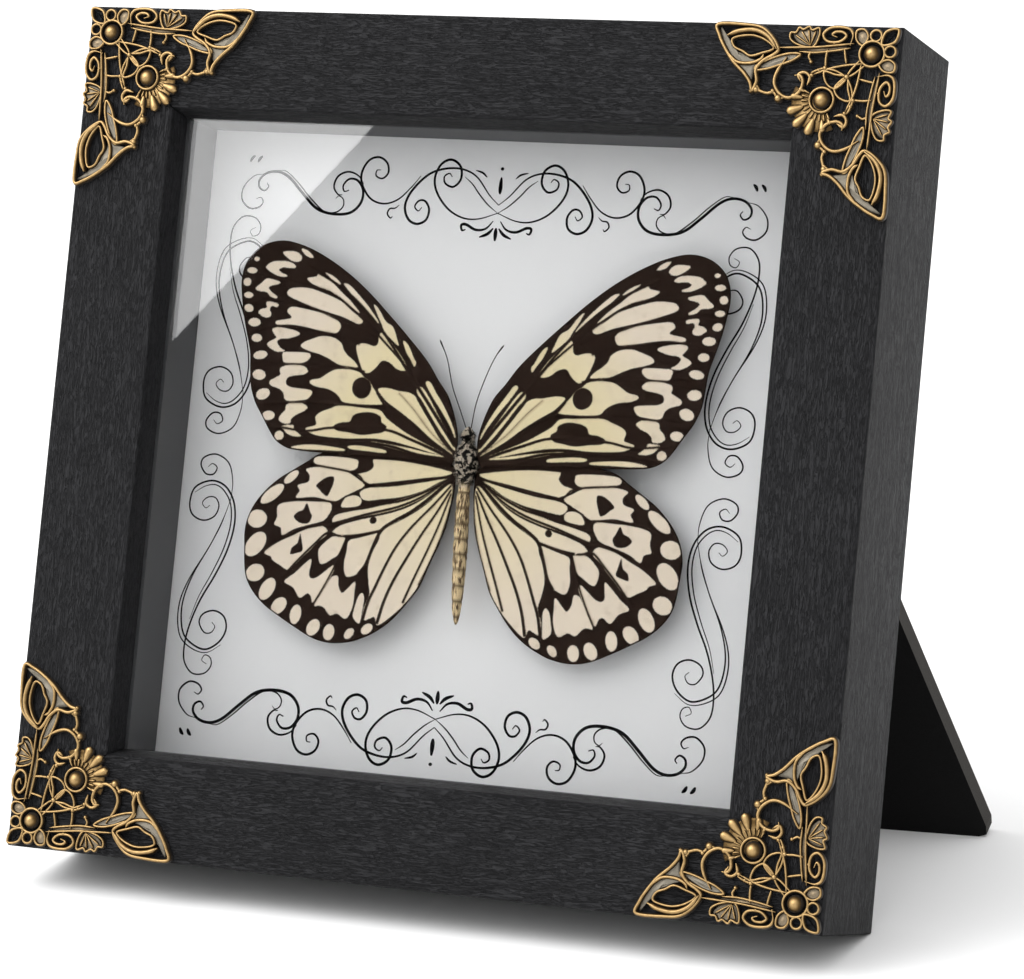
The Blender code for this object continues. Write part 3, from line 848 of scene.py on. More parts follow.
@dataclass
class Scrollwork:
    """The thin black border printed on the card: one half of the top band and one side scroll, mirrored."""

    middle: float = -1.6
    side_middle: float = -2.8
    low_shift: float = -1.6
    low_weight: float = 1.12
    level: float = 98.4
    turn: float = 0.9
    lift: float = 0.06
    ink: float = 0.03
    thin: float = 0.22  # share of a line's width that is left at its ends

    # (width in millimetres, line) of the right half of the top band
    band: tuple = (
        (0.60, ((-1.6, 157.9), (3, 156.3), (7, 156.3), (11, 158.2), (14.2, 161.8), (15.2, 165.3),
                (14, 168.6), (11.5, 169.9), (9, 168.4), (8.6, 165.4), (10.3, 163.5), (12.4, 164.2),
                (12.8, 165.8), (11.6, 166.6), (10.8, 165.8))),
        (0.62, ((-1.6, 159.8), (1, 162.1), (4.5, 166.1), (8, 167.7), (12, 167.8), (16, 166.6), (19, 164.1),
                (21.3, 160.9), (22, 157.9), (20.8, 155.2), (18.5, 154.2), (16.3, 155.3), (15.8, 157.8),
                (17, 159.7), (18.6, 159.7), (19.5, 158.3), (18.5, 157.3), (17.7, 158.2))),
        (0.34, ((-1.6, 157.9), (1, 159.7), (3.5, 162.1), (5.5, 164.4), (7.6, 166))),
        (0.55, ((18.8, 165.6), (21, 162.7), (24, 159.7), (27.5, 158.5), (31, 159.5), (33.5, 162.6),
                (34, 165.6), (32.5, 168.6), (30, 169.5), (27.8, 168.3), (27.2, 166), (28.5, 164.5),
                (30.2, 165), (30.2, 166.3), (29.2, 166.5))),
        (0.70, ((36.8, 161.2), (38, 160.9), (38.4, 162.3), (37, 163.9), (34.8, 163.6), (33.2, 161.4),
                (33.4, 158.4), (35.8, 155.9), (40, 155.3), (44.5, 156.3), (48.5, 159.6), (52.5, 163.3),
                (55.5, 164.6), (58.5, 164.2), (60.3, 162.5), (60.2, 160.7), (58.8, 159.9), (57.8, 160.9),
                (58.3, 161.8))),
        (0.36, ((40, 159), (39.2, 159.7), (38, 158.9), (37.9, 157.2), (39.5, 155.8), (42.5, 155.7),
                (46.5, 158.7), (50, 162.1), (53.5, 164.8), (56, 164.9))),
        (0.50, ((33.2, 162.9), (34.8, 164.8), (37.5, 165.6), (40, 164.4), (40.8, 161.9), (39.6, 160.1),
                (38.4, 160))),
        (0.42, ((59.5, 163.9), (62, 163.2), (64.3, 160.5), (64.4, 157.5), (62.3, 155.5), (60, 155.7),
                (58.8, 157), (59.5, 158.2), (60.7, 157.8))),
        (0.42, ((23.5, 158.4), (24.5, 157.6), (25.8, 157.4), (26.3, 156.2), (25.4, 155.2), (24.9, 155.7))),
        (0.75, ((-0.9, 154.3), (0.4, 152.9), (2.4, 152))),
        (0.70, ((-0.7, 156), (1, 154.1), (3.5, 153.7), (6, 154.8), (7.2, 154.6), (6.9, 153.4), (6, 153.6))),
        (0.50, ((2, 166.2), (3.2, 167.2), (5, 167.7))),
    )
    # the right side's lower scroll
    side: tuple = (
        (0.40, ((56, 85.2), (56, 89.6), (57.5, 94), (61, 95.9), (64.1, 95), (64.8, 93.1), (63.3, 91.1),
                (61.3, 91.1), (60.5, 92.7), (61.8, 93.6), (62.9, 92.7))),
        (0.46, ((61.3, 83.6), (62.3, 82.9), (63.3, 84.1), (62, 85.5), (60, 85.5), (58.9, 83.6),
                (59.8, 81.1), (62.5, 79.9), (65.4, 80.9), (66.6, 83.4), (66, 87.1), (63.5, 89),
                (60.4, 89.5), (57.3, 88.1), (55, 84.6), (54.3, 79.6), (55.4, 73.4), (57.9, 67.1),
                (61, 60.9), (63.1, 54.6), (63.8, 49.6), (63.3, 45.9), (61, 43.4), (57.9, 43.6),
                (56.3, 45.5), (56.6, 47.4), (58.1, 48), (58.8, 46.7), (57.5, 45.9))),
        (0.34, ((65.6, 86.4), (63, 88.1), (60.3, 88.6), (57.9, 87.3), (55.9, 84.3), (55.3, 79.6),
                (56.4, 73.7), (58.8, 67.5), (61.5, 61.7), (63.2, 56.1))),
        (0.46, ((56, 85.6), (57.3, 80.9), (59.8, 74.6), (63.5, 67.1), (65.4, 60.9), (65.4, 55.9),
                (64.1, 52.1), (61, 49.9), (57.9, 49.4), (54.8, 51.5), (53.4, 54.6), (54.3, 57.5),
                (57, 58.7), (59.8, 57.7), (60.6, 55.6), (59.1, 53.4), (57.3, 53.4), (56.4, 54.9),
                (57.3, 55.9))),
        (0.34, ((56.6, 83.1), (58, 78.6), (60.8, 72.6), (64.3, 66.1), (66.2, 60.6), (66.3, 55.6),
                (64.9, 51.4), (61.5, 49.1), (57.8, 48.6), (54.3, 50.8))),
    )
    # plain drops and dots: in the middle of the band, and at its outer corner
    middle_marks: tuple = ((0.95, ((-1.6, 154.4), (-1.6, 153), (-1.6, 151.3))),
                           (1.0, ((-1.6, 162.4), (-1.6, 164), (-1.6, 166.4))),
                           (0.85, ((-1.6, 168), (-1.6, 168.4), (-1.6, 168.8))))
    corner_marks: tuple = ((0.80, ((60.2, 168.2), (60.9, 167.5), (61.3, 166.6))),
                           (0.80, ((62.2, 168.2), (62.9, 167.5), (63.3, 166.6))))

    def stroke(self, width: float, line: np.ndarray) -> Shape:
        """Draws one line of ink: the width swells as a sine from its ends to its middle.

        Args:
            width: full width in the middle.
            line: smooth flat line.

        Returns:
            A thin closed ribbon on the card.
        """
        share = np.linspace(0, 1, len(line))
        swell = self.thin + (1 - self.thin) * np.sin(np.pi * np.clip(share, 0.02, 0.98)) ** 0.6
        section = (np.array([-1.0, -0.8, 0.8, 1.0]), np.array([0.0, 1.0, 1.0, 0.0]))
        drawn = bar(line, width * swell, self.ink, -panel.card + self.lift / 2, section)
        return Shape(drawn.points, drawn.faces)

    def below(self, line: Points, shift: float) -> Points:
        """Returns a line flipped into the lower half and moved sideways."""
        return tuple((x + shift, 2 * self.level - z) for x, z in line)

    def lines(self) -> list[tuple[float, np.ndarray]]:
        """Lists every line: the band to both sides and below, and the side scroll four times."""
        half = [*self.band, *self.corner_marks]
        top = half + [(width, mirrored(line, self.middle)) for width, line in half] + [*self.middle_marks]
        low = [(width * self.low_weight, self.below(line, self.low_shift)) for width, line in top]
        drawn = top + low
        for width, line in self.side:
            both = (line, mirrored(line, self.side_middle))
            drawn += [(width, part) for part in both]
            drawn += [(width, self.below(part, 0)) for part in both]
        return [(width, smooth(line, 6)) for width, line in drawn]

    def build(self) -> None:
        """Makes the print, set a little askew on the card."""
        strokes = [self.stroke(width, line) for width, line in self.lines()]
        turn = np.array(Matrix.Rotation(math.radians(self.turn), 3, "Y"))
        border = Shape.joined(strokes).turned(turn, (self.middle, panel.card, self.level))
        ink = Plain("black_ink", (0.006, 0.006, 0.007), 0.7, scale=3.0, gloss=0.1).make()
        add_piece("card_scrollwork", border, ink)


@dataclass
class BrassCorners:
    """Four pierced brass corners. One half is drawn by (u, v) from the outer corner and mirrored."""

    base: float = GAP
    # half-round wires: (width, height, line)
    wires: tuple = (
        (1.0, 1.2, ((11.5, 4.7), (11.1, 2.2), (12.4, 0.8), (16, 0.7), (17.9, 2.2), (16.9, 3.8), (14.2, 3.9),
                    (12.6, 2.6), (13.5, 1.7), (15.1, 1.7), (15.8, 2.4), (14.6, 2.9))),
        (0.75, 1.3, ((10.6, 4.2), (14.6, 4.7), (19.2, 5.2), (23.7, 5.4), (28, 5.6))),
        (0.75, 1.1, ((11.4, 5.2), (14.6, 5.8), (19.2, 6.4), (23.2, 6.3))),
        (0.8, 1.0, ((20.5, 6.2), (20.9, 7.3), (20.3, 8.4))),
        (1.15, 1.3, ((25.8, 7.6), (27.8, 10.8), (28.3, 13.5), (26.9, 15.8), (24.6, 16.7), (22.4, 15.4),
                     (21.7, 13.1), (22.4, 11.7), (23.7, 11.7))),
        (1.1, 1.2, ((20.6, 13.8), (20.2, 11.9), (21.5, 10.9), (22.9, 11.5), (22.2, 13))),
        (1.0, 1.1, ((25.5, 16.7), (27.1, 16.9), (28.3, 15.6), (30, 15.8), (32.4, 15.1), (33.6, 15.3))),
        (0.8, 1.0, ((12.8, 5.4), (12.5, 7), (12.1, 8.7))),
        (0.8, 1.0, ((16.7, 5.6), (16.9, 7.6), (16.8, 9.8))),
        (0.8, 1.0, ((8.6, 8.2), (9.1, 12.4), (9.9, 15.8), (11.4, 19.6))),
        (0.75, 1.0, ((11.7, 11.7), (14.3, 10.4), (17, 9.9))),
        (0.75, 1.0, ((11.7, 11.7), (11.0, 10.2), (8.8, 7.6))),
        (0.8, 1.1, ((16.9, 9.8), (18.3, 10.2), (20, 11))),
        (1.1, 1.5, ((31.2, 7.2), (31.9, 8.3), (34.2, 9.2), (37.4, 9), (39.8, 6.9))),
        (1.0, 1.1, ((32.8, 10.8), (32.4, 14), (31.5, 15.3))),
        (1.5, 2.0, ((28.2, 6), (30.5, 3.2), (33.7, 1.8), (37.4, 2.1), (40, 3.2))),
    )
    # closed rims: (width, height, outline)
    rims: tuple = (
        (1.2, 1.5, ((28, 5.9), (29.6, 3.3), (32.2, 1.2), (36, 0.6), (42.5, 0.6), (42, 3.2), (40.5, 5.9),
                    (38.3, 8.9), (35.6, 11.4), (33.9, 13.6), (33.3, 15.4), (32.4, 13.2), (32.8, 10.6),
                    (31.2, 8.5), (29, 7.2))),
        (0.9, 1.5, ((29, 5.8), (31, 4), (34, 3), (37, 3.2), (38.9, 4), (38.2, 5.7), (36.2, 6.6),
                    (34.3, 7.6), (31.7, 6.9))),
        (0.85, 1.2, ((22.8, 6.9), (25.5, 6.8), (29.2, 7.9), (32.4, 9.4), (33, 10.7), (30.1, 10.3),
                     (26.9, 9.2), (24.6, 8.3))),
        (0.8, 1.0, ((11.7, 11.7), (14.1, 14.3), (16.3, 13.2), (17, 10.6), (14.4, 11.2))),
        (0.8, 1.1, ((7.6, 2.6), (8.6, 1.0), (10.3, 1.3), (10.2, 3.4), (8.6, 4.6))),
        (0.75, 1.1, ((20.2, 5.2), (18.9, 2.8), (19, 0.9), (20.6, 1.4), (21.3, 0.6), (22.6, 1.3),
                     (23.6, 0.9), (24.3, 2), (25.5, 2.1), (25.4, 3.6), (23.4, 4.8))),
    )
    # dished leaf floors: (height, silvery share, outline)
    floors: tuple = (
        (0.8, 1.0, ((36.4, 7.1), (38.7, 6.1), (39.9, 3.9), (41.9, 1.1), (41.5, 3.2), (40, 6), (37.9, 8.8),
                    (35.2, 11.3), (33.8, 13.2), (33.2, 10.6), (32.4, 8.8), (34.3, 8.2))),
        (0.7, 1.0, ((23.2, 7.1), (26, 7.1), (29.2, 8.3), (32.2, 10.1), (29.8, 10), (26.7, 8.9))),
        (0.4, 0.6, ((7.8, 2.7), (8.7, 1.3), (10, 1.6), (9.9, 3.3), (8.6, 4.2))),
        (0.4, 0.7, ((20.4, 4.9), (19.2, 2.8), (19.4, 1.2), (21.3, 1.1), (23.5, 1.3), (25.1, 2.5),
                    (23.4, 4.5))),
        (0.4, 0.5, ((11.8, 4.9), (15, 5), (19.2, 5.5), (24, 5.7), (19.2, 6.1), (14.8, 5.5))),
    )
    beads: tuple = ((27.1, 16.9, 1.15, 1.5), (28.5, 15.3, 0.75, 1.3), (32.4, 15.1, 0.95, 1.4),
                    (20.3, 8.5, 0.6, 1.1), (18.3, 10.3, 0.65, 1.2), (11.5, 19.8, 0.7, 1.2),
                    (16.9, 9.8, 0.75, 1.3), (33.6, 15.4, 0.7, 1.3), (15.2, 4.2, 0.5, 1.3))
    fan_tips: tuple = ((19.7, 1.5), (21.4, 1.3), (23.1, 1.6), (24.5, 2.5))
    fan_foot: tuple = (20.8, 4.9)
    fan_size: tuple = (0.8, 1.2)  # width, height
    taper_ends: float = 0.45  # share of a wire's width that is left at its ends
    taper_rate: float = 9.0
    # on the diagonal; caps give (radius, height), rims (radius, width, height) or (width, height)
    flower: tuple = (6.4, 6.4)
    flower_cap: tuple = (2.0, 2.3)
    flower_rim: tuple = (2.85, 0.95, 1.2)
    side_petals: tuple = ((5.8, 2.3), (2.3, 5.8))
    side_rim: tuple = (1.25, 0.85, 1.1)
    apex: tuple = ((0.8, 0.8), (3.6, 1.4), (4.3, 4.3), (1.4, 3.6))
    apex_rim: tuple = (0.9, 1.2)
    knot: tuple = (11.7, 11.7)
    knot_cap: tuple = (0.9, 1.4)
    ray: tuple = ((12.2, 12.2), (14.6, 14.6))
    ray_rim: tuple = (0.75, 1.0)
    shell: tuple = (17.0, 17.0)
    shell_cap: tuple = (2.1, 2.3)
    shell_rim: tuple = (2.75, 0.9, 1.3)
    shell_span: tuple = (-26, 116)  # degrees below the horizontal
    ribs: int = 11
    rib_reach: tuple = (3.1, 4.9)
    rib_size: tuple = (0.85, 1.1)
    petal_foot: float = 4.4
    petal_height: float = 1.5
    web_reach: float = 7.2
    web_height: float = 0.35
    # shell petals: direction in degrees below the horizontal, reach, width
    petals: tuple = ((-24, 6.0, 1.7), (-6, 7.3, 2.4), (20, 8.4, 3.3), (45, 8.6, 3.3), (70, 8.4, 3.3),
                     (96, 7.3, 2.4), (114, 6.0, 1.7))

    @staticmethod
    def spot(u: float, v: float) -> tuple[float, float]:
        """Returns panel x and z of a point (u, v) from the top left corner."""
        return u - panel.half, panel.side - v

    def line(self, points: Points, swap: bool) -> list[tuple[float, float]]:
        """Returns panel points of a line, for one side of the diagonal or the other."""
        return [self.spot(v, u) if swap else self.spot(u, v) for u, v in points]

    def drop(self, foot: tuple[float, float], tip: tuple[float, float], width: float, height: float) -> Shape:
        """Makes a petal from foot to tip: the width swells as the square root of the way, then rounds off."""
        share = np.linspace(0, 1, 12)[:, None]
        line = np.array(foot) * (1 - share) + np.array(tip) * share
        way = share[:, 0]
        swell = np.sqrt(way + 0.06) * np.sqrt(np.clip(1 - way**6, 0.02, 1))
        return bar(line, width * swell, height * (0.55 + 0.45 * swell), self.base, HALF_ROUND)

    def floor(self, height: float, silver: float, outline: np.ndarray) -> Shape:
        """Makes a dished leaf: rings shrink towards the outline's middle as the height dips and rises."""
        middle = outline.mean(axis=0)
        share = np.array([1.0, 0.97, 0.8, 0.55, 0.3, 0.08])[:, None, None]
        flat = middle + (outline - middle) * share
        dish = height * np.array([0.1, 1.0, 0.82, 0.78, 0.95, 1.1])[:, None] + np.zeros(len(outline))
        rings = np.stack([flat[..., 0], -(self.base + dish), flat[..., 1]], axis=-1)
        crest = np.broadcast_to(np.array([0.3, 0.7, 0.78, 0.84, 0.9, 0.95])[:, None], rings.shape[:2])
        return tube(rings, {"crest": crest.reshape(-1).copy(), "silver": np.full(rings.size // 3, silver)})

    def half(self, swap: bool) -> list[Shape]:
        """Makes one half of the corner."""
        parts = []
        for width, height, line in self.wires:
            route = smooth(self.line(line, swap), 6)
            share = np.linspace(0, 1, len(route))
            taper = np.clip(np.minimum(share, 1 - share) * self.taper_rate, self.taper_ends, 1)
            parts.append(bar(route, width * taper, height, self.base, HALF_ROUND))
        for width, height, outline in self.rims:
            route = smooth(self.line(outline, swap), 5, closed=True)
            parts.append(bar(route, width, height, self.base, HALF_ROUND, closed=True))
        for height, silver, outline in self.floors:
            parts.append(self.floor(height, silver, smooth(self.line(outline, swap), 5, closed=True)))
        for u, v, radius, height in self.beads:
            parts.append(dome(*self.line(((u, v),), swap)[0], radius, height, self.base, 16))
        foot = self.line((self.fan_foot,), swap)[0]
        parts += [self.drop(foot, self.line((tip,), swap)[0], *self.fan_size) for tip in self.fan_tips]
        return parts

    def rosette(self) -> list[Shape]:
        """Makes what lies on the diagonal: the corner flower and the shell."""
        at = self.spot(*self.flower)
        parts = [dome(*at, *self.flower_cap, self.base), ring(*at, *self.flower_rim, self.base)]
        parts += [ring(*self.spot(*petal), *self.side_rim, self.base) for petal in self.side_petals]
        apex = smooth(self.line(self.apex, False), 6, closed=True)
        parts.append(bar(apex, *self.apex_rim, self.base, HALF_ROUND, closed=True))
        parts.append(dome(*self.spot(*self.knot), *self.knot_cap, self.base, 18))
        ray = np.array([self.spot(*end) for end in self.ray])
        parts.append(bar(evenly(ray, 6), *self.ray_rim, self.base, HALF_ROUND))
        at = self.spot(*self.shell)
        parts += [dome(*at, *self.shell_cap, self.base), ring(*at, *self.shell_rim, self.base)]
        near, far = self.rib_reach
        for angle in np.radians(np.linspace(*self.shell_span, self.ribs)):
            way = np.array([math.cos(angle), -math.sin(angle)])
            parts.append(self.drop(tuple(way * near + at), tuple(way * far + at), *self.rib_size))
        for degrees, reach, width in self.petals:
            way = np.array([math.cos(math.radians(degrees)), -math.sin(math.radians(degrees))])
            foot, tip = tuple(way * self.petal_foot + at), tuple(way * reach + at)
            parts.append(self.drop(foot, tip, width, self.petal_height))
        sector = np.radians(np.linspace(*self.shell_span, 14))
        u, v = self.shell
        rim = [(u + self.web_reach * math.cos(a), v + self.web_reach * math.sin(a)) for a in sector]
        parts.append(self.floor(self.web_height, 0.0, np.array(self.line((self.shell, *rim), False))))
        return parts

    def build(self) -> None:
        """Makes the corner once and turns it to its four places."""
        shape = Shape.joined([*self.half(False), *self.half(True), *self.rosette()])
        brass = Brass().make()
        for quarter, place in enumerate(("top_left", "top_right", "bottom_right", "bottom_left")):
            node = f"corner_{place}"
            turned = shape.turned(*about_middle(90 * quarter))
            add_piece(f"{node}_brass", turned, brass, "frame", (node,))


# --------------------------------------------------------------------------------------------- specimen


@dataclass(frozen=True)
class Marks:
    """One wing's outline and markings, for the left side, in panel millimetres."""

    name: str
    outline: Points
    middle: tuple[float, float]
    front: float
    patches: tuple
    margin: tuple  # pale marginal spots: x, z, half length, half width, lean in degrees
    spots: tuple  # dark outlines on the pale patches
    veins: tuple  # (width at the root, width at the end, line)
    pink: tuple[float, float]  # distances from the root where yellow turns to pinkish white


FOREWING = Marks(
    "forewing",
    ((-2.6, 104.6), (-5.3, 112.7), (-8.7, 117.3), (-12.0, 121.7), (-17.3, 127.0), (-22.7, 132.0),
     (-28.0, 136.7), (-33.3, 140.7), (-38.7, 144.0), (-44.0, 146.5), (-48.7, 147.9), (-52.0, 148.2),
     (-55.3, 147.5), (-58.0, 146.0), (-60.2, 143.6), (-61.3, 140.6), (-61.5, 137.4), (-60.8, 133.2),
     (-60.0, 129.6), (-58.7, 125.3), (-57.5, 121.3), (-57.0, 117.3), (-56.4, 113.3), (-54.9, 109.6),
     (-52.6, 106.2), (-50.4, 103.0), (-48.4, 100.7), (-45.6, 99.2), (-42.0, 98.7), (-34.0, 98.5),
     (-24.0, 98.6), (-14.0, 98.5), (-6.0, 98.0), (-3.3, 98.3)),
    (-30.0, 116.0), 16.8,
    (
        ((-51.5, 145.4), (-50.3, 145.7), (-48.3, 145.7), (-46.8, 144.9), (-46.5, 143.9), (-47.5, 143.3),
         (-49, 143.5), (-50.7, 144.5)),
        ((-46.8, 146.4), (-45.7, 146.3), (-44.3, 145.5), (-43.5, 144.5), (-44.5, 144.5), (-45.9, 145.2)),
        ((-55.5, 141.8), (-54, 143), (-51.3, 143.3), (-49, 143), (-47.8, 142.1), (-48.7, 141.7),
         (-51, 141.8), (-52.1, 141.2), (-51.3, 140.5), (-49.9, 140), (-50.1, 139.6), (-52, 139.7),
         (-54, 140.5), (-55.1, 141.2)),
        ((-57.7, 136.5), (-56.3, 137.8), (-55.2, 138.8), (-54, 138.9), (-51.5, 138.3), (-52, 137.7),
         (-53.7, 137.3), (-54.3, 136.7), (-53.3, 135.7), (-51.9, 134.8), (-52.1, 134.3), (-53.7, 134.8),
         (-54.7, 135.7), (-56.7, 135.9)),
        ((-56.3, 131), (-55.5, 131.7), (-54.3, 132), (-54.5, 133), (-54, 133.5), (-51.5, 133.1),
         (-51.6, 132.3), (-53, 132.5), (-53.5, 131.7), (-53, 130.7), (-53.3, 129.9), (-54.7, 129.7),
         (-56.1, 130.5)),
        ((-44.5, 139.5), (-42.3, 140), (-41.7, 140.8), (-40.7, 140.5), (-37.3, 138.3), (-35.3, 136.6),
         (-32.7, 134.6), (-30.1, 131.9), (-32.2, 133.2), (-35.3, 135.3), (-37.5, 136.3), (-40.7, 137.4),
         (-43.3, 138.4)),
        ((-49.2, 136.2), (-48, 137), (-44, 137.2), (-40.7, 136.4), (-37.3, 135.3), (-34.7, 134.2),
         (-32, 132.2), (-29.5, 130.7), (-29.2, 129.7), (-30.5, 129.4), (-34, 130.7), (-38, 131.7),
         (-42, 132.7), (-46, 134), (-49, 135.2)),
        ((-39.9, 141), (-38.3, 140.5), (-36.7, 139.5), (-35.7, 138.5), (-37, 138.8), (-38.7, 140)),
        ((-34.9, 138.7), (-33.3, 138.3), (-30.7, 136.1), (-28, 133.5), (-25.7, 130.9), (-25, 129.7),
         (-26.7, 130.8), (-29.3, 133.3), (-32.7, 136.3), (-34.3, 137.9)),
        ((-26.7, 134.1), (-25.3, 133), (-23.3, 130.3), (-21.3, 129), (-20, 126.3), (-19.5, 124.8),
         (-21.3, 126.1), (-23.3, 127.9), (-24.3, 129.7), (-25.7, 132)),
        ((-18.4, 125.9), (-17, 125), (-15.3, 122), (-14.7, 121.2), (-15, 120.1), (-16.1, 121.7),
         (-17.3, 123.3)),
        ((-51.3, 129), (-48, 129.7), (-47.7, 130.3), (-48.8, 131.3), (-48.3, 132.3), (-46.7, 132.5),
         (-41.3, 131.7), (-37.3, 130.8), (-34.7, 129), (-35.2, 127.2), (-36.7, 126.8), (-40, 127.3),
         (-44, 128), (-47.3, 128.3), (-51, 128.1)),
        ((-52.2, 126.8), (-51.7, 127.3), (-50, 127.5), (-46.5, 127), (-45, 126.3), (-45.7, 125.7),
         (-48, 125), (-49.9, 124.8), (-50.7, 124), (-49.7, 122.7), (-48.5, 122), (-50.3, 121.7),
         (-52, 122.3), (-53.2, 123.2), (-52.7, 124), (-51, 125), (-51.7, 125.9)),
        ((-44.3, 123.2), (-43.7, 124.3), (-41.3, 125.3), (-39, 126), (-36, 125.7), (-34, 124.5),
         (-33.3, 123), (-32, 121.7), (-30.3, 120.5), (-29.3, 119.2), (-31.3, 119.2), (-34, 119.5),
         (-36.7, 120.7), (-39.3, 121.7), (-42, 122.3)),
        ((-48.8, 121.6), (-46.7, 121.8), (-44, 121.9), (-42, 121.7), (-41.7, 120.8), (-42.8, 119.7),
         (-44.7, 119.2), (-48, 119.2), (-48.8, 120.3)),
        ((-48.8, 118.1), (-46.7, 118.7), (-43.3, 118.7), (-41.9, 117.5), (-43, 116.7), (-45.3, 116.3),
         (-47, 115.7), (-47.3, 114.3), (-46, 113.5), (-43.3, 113.3), (-41, 113.1), (-40.3, 112.5),
         (-41.3, 111), (-43.3, 110.5), (-46, 110.2), (-47.2, 110.7), (-47.7, 112), (-49, 113),
         (-51.3, 113.7), (-51.5, 114.7), (-50.3, 115.5), (-49, 116.3), (-49.2, 117.3)),
        ((-40.9, 115.5), (-38.7, 116), (-36.7, 117.3), (-34.7, 118.3), (-31.3, 118.5), (-28.7, 118),
         (-27.4, 116.9), (-26, 116), (-24.6, 114.2), (-22.9, 112.4), (-21.9, 111.2), (-23, 110.7),
         (-28, 110.5), (-32, 110.8), (-33.3, 112), (-34.7, 113), (-36.7, 113.7), (-39.3, 114),
         (-41, 114.7)),
        ((-46.5, 109.3), (-44.7, 109.9), (-42.7, 109.9), (-41.1, 109), (-42, 108), (-44, 107), (-45, 106),
         (-45.3, 105), (-47, 104.9), (-48.2, 105.7), (-47.7, 107), (-46.8, 108)),
        ((-47.2, 104.1), (-45.7, 104.5), (-44.3, 104.5), (-44, 103.7), (-42.8, 102.7), (-42.1, 102.1),
         (-44, 102), (-45.7, 102.5), (-46.5, 103.3)),
        ((-38.8, 106.8), (-37.7, 108), (-35.3, 109), (-32.7, 109.9), (-27, 109.7), (-22.7, 109.4),
         (-20.7, 107.6), (-17.3, 105.5), (-14, 103.8), (-8, 101.3), (-4.2, 99.8), (-8, 100.2),
         (-13, 101.3), (-19, 102.4), (-24, 102.7), (-30, 102.3), (-36, 102.4), (-39, 102.8), (-41, 104),
         (-38.5, 105)),
        ((-23.5, 114.3), (-21.3, 114.7), (-18, 114.1), (-16, 114), (-14.3, 113.3), (-13.3, 112),
         (-11.3, 109.3), (-9.3, 106.7), (-6.7, 103.3), (-3.5, 100.4), (-5.3, 101.3), (-9.3, 103.7),
         (-13.3, 106.7), (-17.3, 109.3), (-20.7, 111.3), (-22.3, 112.7)),
        ((-13.7, 115), (-12.5, 115.3), (-10.7, 113.3), (-8, 109.3), (-5.3, 105.3), (-3.3, 102.3),
         (-2.9, 101.2), (-4, 102), (-6.7, 105), (-9.3, 108.3), (-12, 112), (-13.5, 113.7)),
        ((-11.7, 116.3), (-10.7, 116.7), (-8.7, 114), (-6.7, 111.3), (-4.7, 108), (-3.4, 105.3),
         (-3.3, 104.2), (-4.7, 106.7), (-7.3, 110.3), (-9.7, 113.3)),
        ((-30.1, 124), (-29.3, 124.7), (-27.7, 124.8), (-25.7, 124.3), (-24.7, 125), (-24.5, 127),
         (-23.8, 127.5), (-22.3, 126.2), (-20, 124), (-18, 121.7), (-17, 120), (-17.3, 119),
         (-19.3, 119.3), (-21.3, 120.7), (-23.3, 121), (-24.7, 119.3), (-26.3, 118), (-27.7, 118.3),
         (-28.7, 120), (-29.7, 122.3)),
        ((-44.3, 99.3), (-42, 100), (-38.7, 100.3), (-35.3, 100.2), (-31, 99.8), (-31, 99.3), (-36, 99.2),
         (-41, 99.1)),
        ((-29.7, 100.5), (-27, 100.8), (-23, 100.5), (-20.3, 100.1), (-20.5, 99.5), (-25, 99.7),
         (-29, 99.9)),
        ((-24, 101.9), (-16, 101.2), (-10, 100.3), (-5, 99.7), (-10, 99.5), (-16, 100.3)),
    ),
    ((-58.1, 143.5, 0.7, 0.5, 0), (-59, 140.7, 1.3, 0.7, 0), (-60, 137.9, 1.0, 0.95, 0),
     (-59.3, 134.8, 1.2, 0.7, 0), (-58.9, 131.7, 1.2, 0.9, -15), (-57.1, 128.4, 1.6, 1.0, 0),
     (-56.1, 124.7, 1.35, 0.95, 0), (-54.7, 120.7, 1.8, 1.0, 10), (-54.5, 116, 1.7, 1.2, -5),
     (-53, 111.5, 1.8, 1.3, 20), (-51, 106.5, 1.6, 1.1, 5), (-47.7, 101.9, 1.15, 1.1, 0)),
    (
        ((-30.2, 114.3), (-29.6, 116.1), (-27.7, 116.9), (-25.9, 116.0), (-25.3, 114.2), (-26.1, 112.4),
         (-27.8, 111.8), (-29.5, 112.6)),
        ((-34, 104.5), (-33.7, 105.3), (-32, 106), (-30, 106.3), (-29.3, 107.7), (-27.7, 108.5),
         (-24.7, 108.8), (-22.3, 108), (-21.9, 106.7), (-20.5, 105.7), (-21.3, 104.3), (-24, 103.7),
         (-26.7, 103.3), (-30, 103.7), (-32.7, 103.9)),
    ),
    (
        (0.9, 0.6, ((-3.2, 102.4), (-7.5, 107.8), (-12.6, 114.2), (-16.4, 118.8), (-22.6, 126.6),
                    (-30, 133.8), (-36.4, 138.3), (-44, 142))),
        (0.6, 0.4, ((-16, 119), (-22, 124.5), (-30, 131.2), (-38, 136.4), (-46, 138), (-56, 139.8))),
        (0.5, 0.4, ((-26.5, 126.5), (-35, 129.9), (-44, 133), (-52, 134), (-58.6, 133.3))),
        (0.5, 0.4, ((-29.5, 124.6), (-34, 126.3), (-44, 127.4), (-50, 127.9), (-57.4, 126.5))),
        (0.5, 0.4, ((-27.5, 118.2), (-31, 118.9), (-38, 118.9), (-46, 119), (-55.6, 118.4))),
        (1.0, 0.7, ((-3.7, 99.7), (-9.3, 103.1), (-13.3, 105.7), (-17.3, 108.6), (-21, 110.4),
                    (-23.6, 113.4))),
        (0.5, 0.4, ((-22, 110.2), (-28, 110.1), (-33, 110.3), (-44, 110), (-53.6, 109.2))),
        (0.8, 0.5, ((-3.7, 99.3), (-9, 101.3), (-14, 103), (-21.3, 105), (-34, 104.6), (-41, 103.4),
                    (-50, 104.2))),
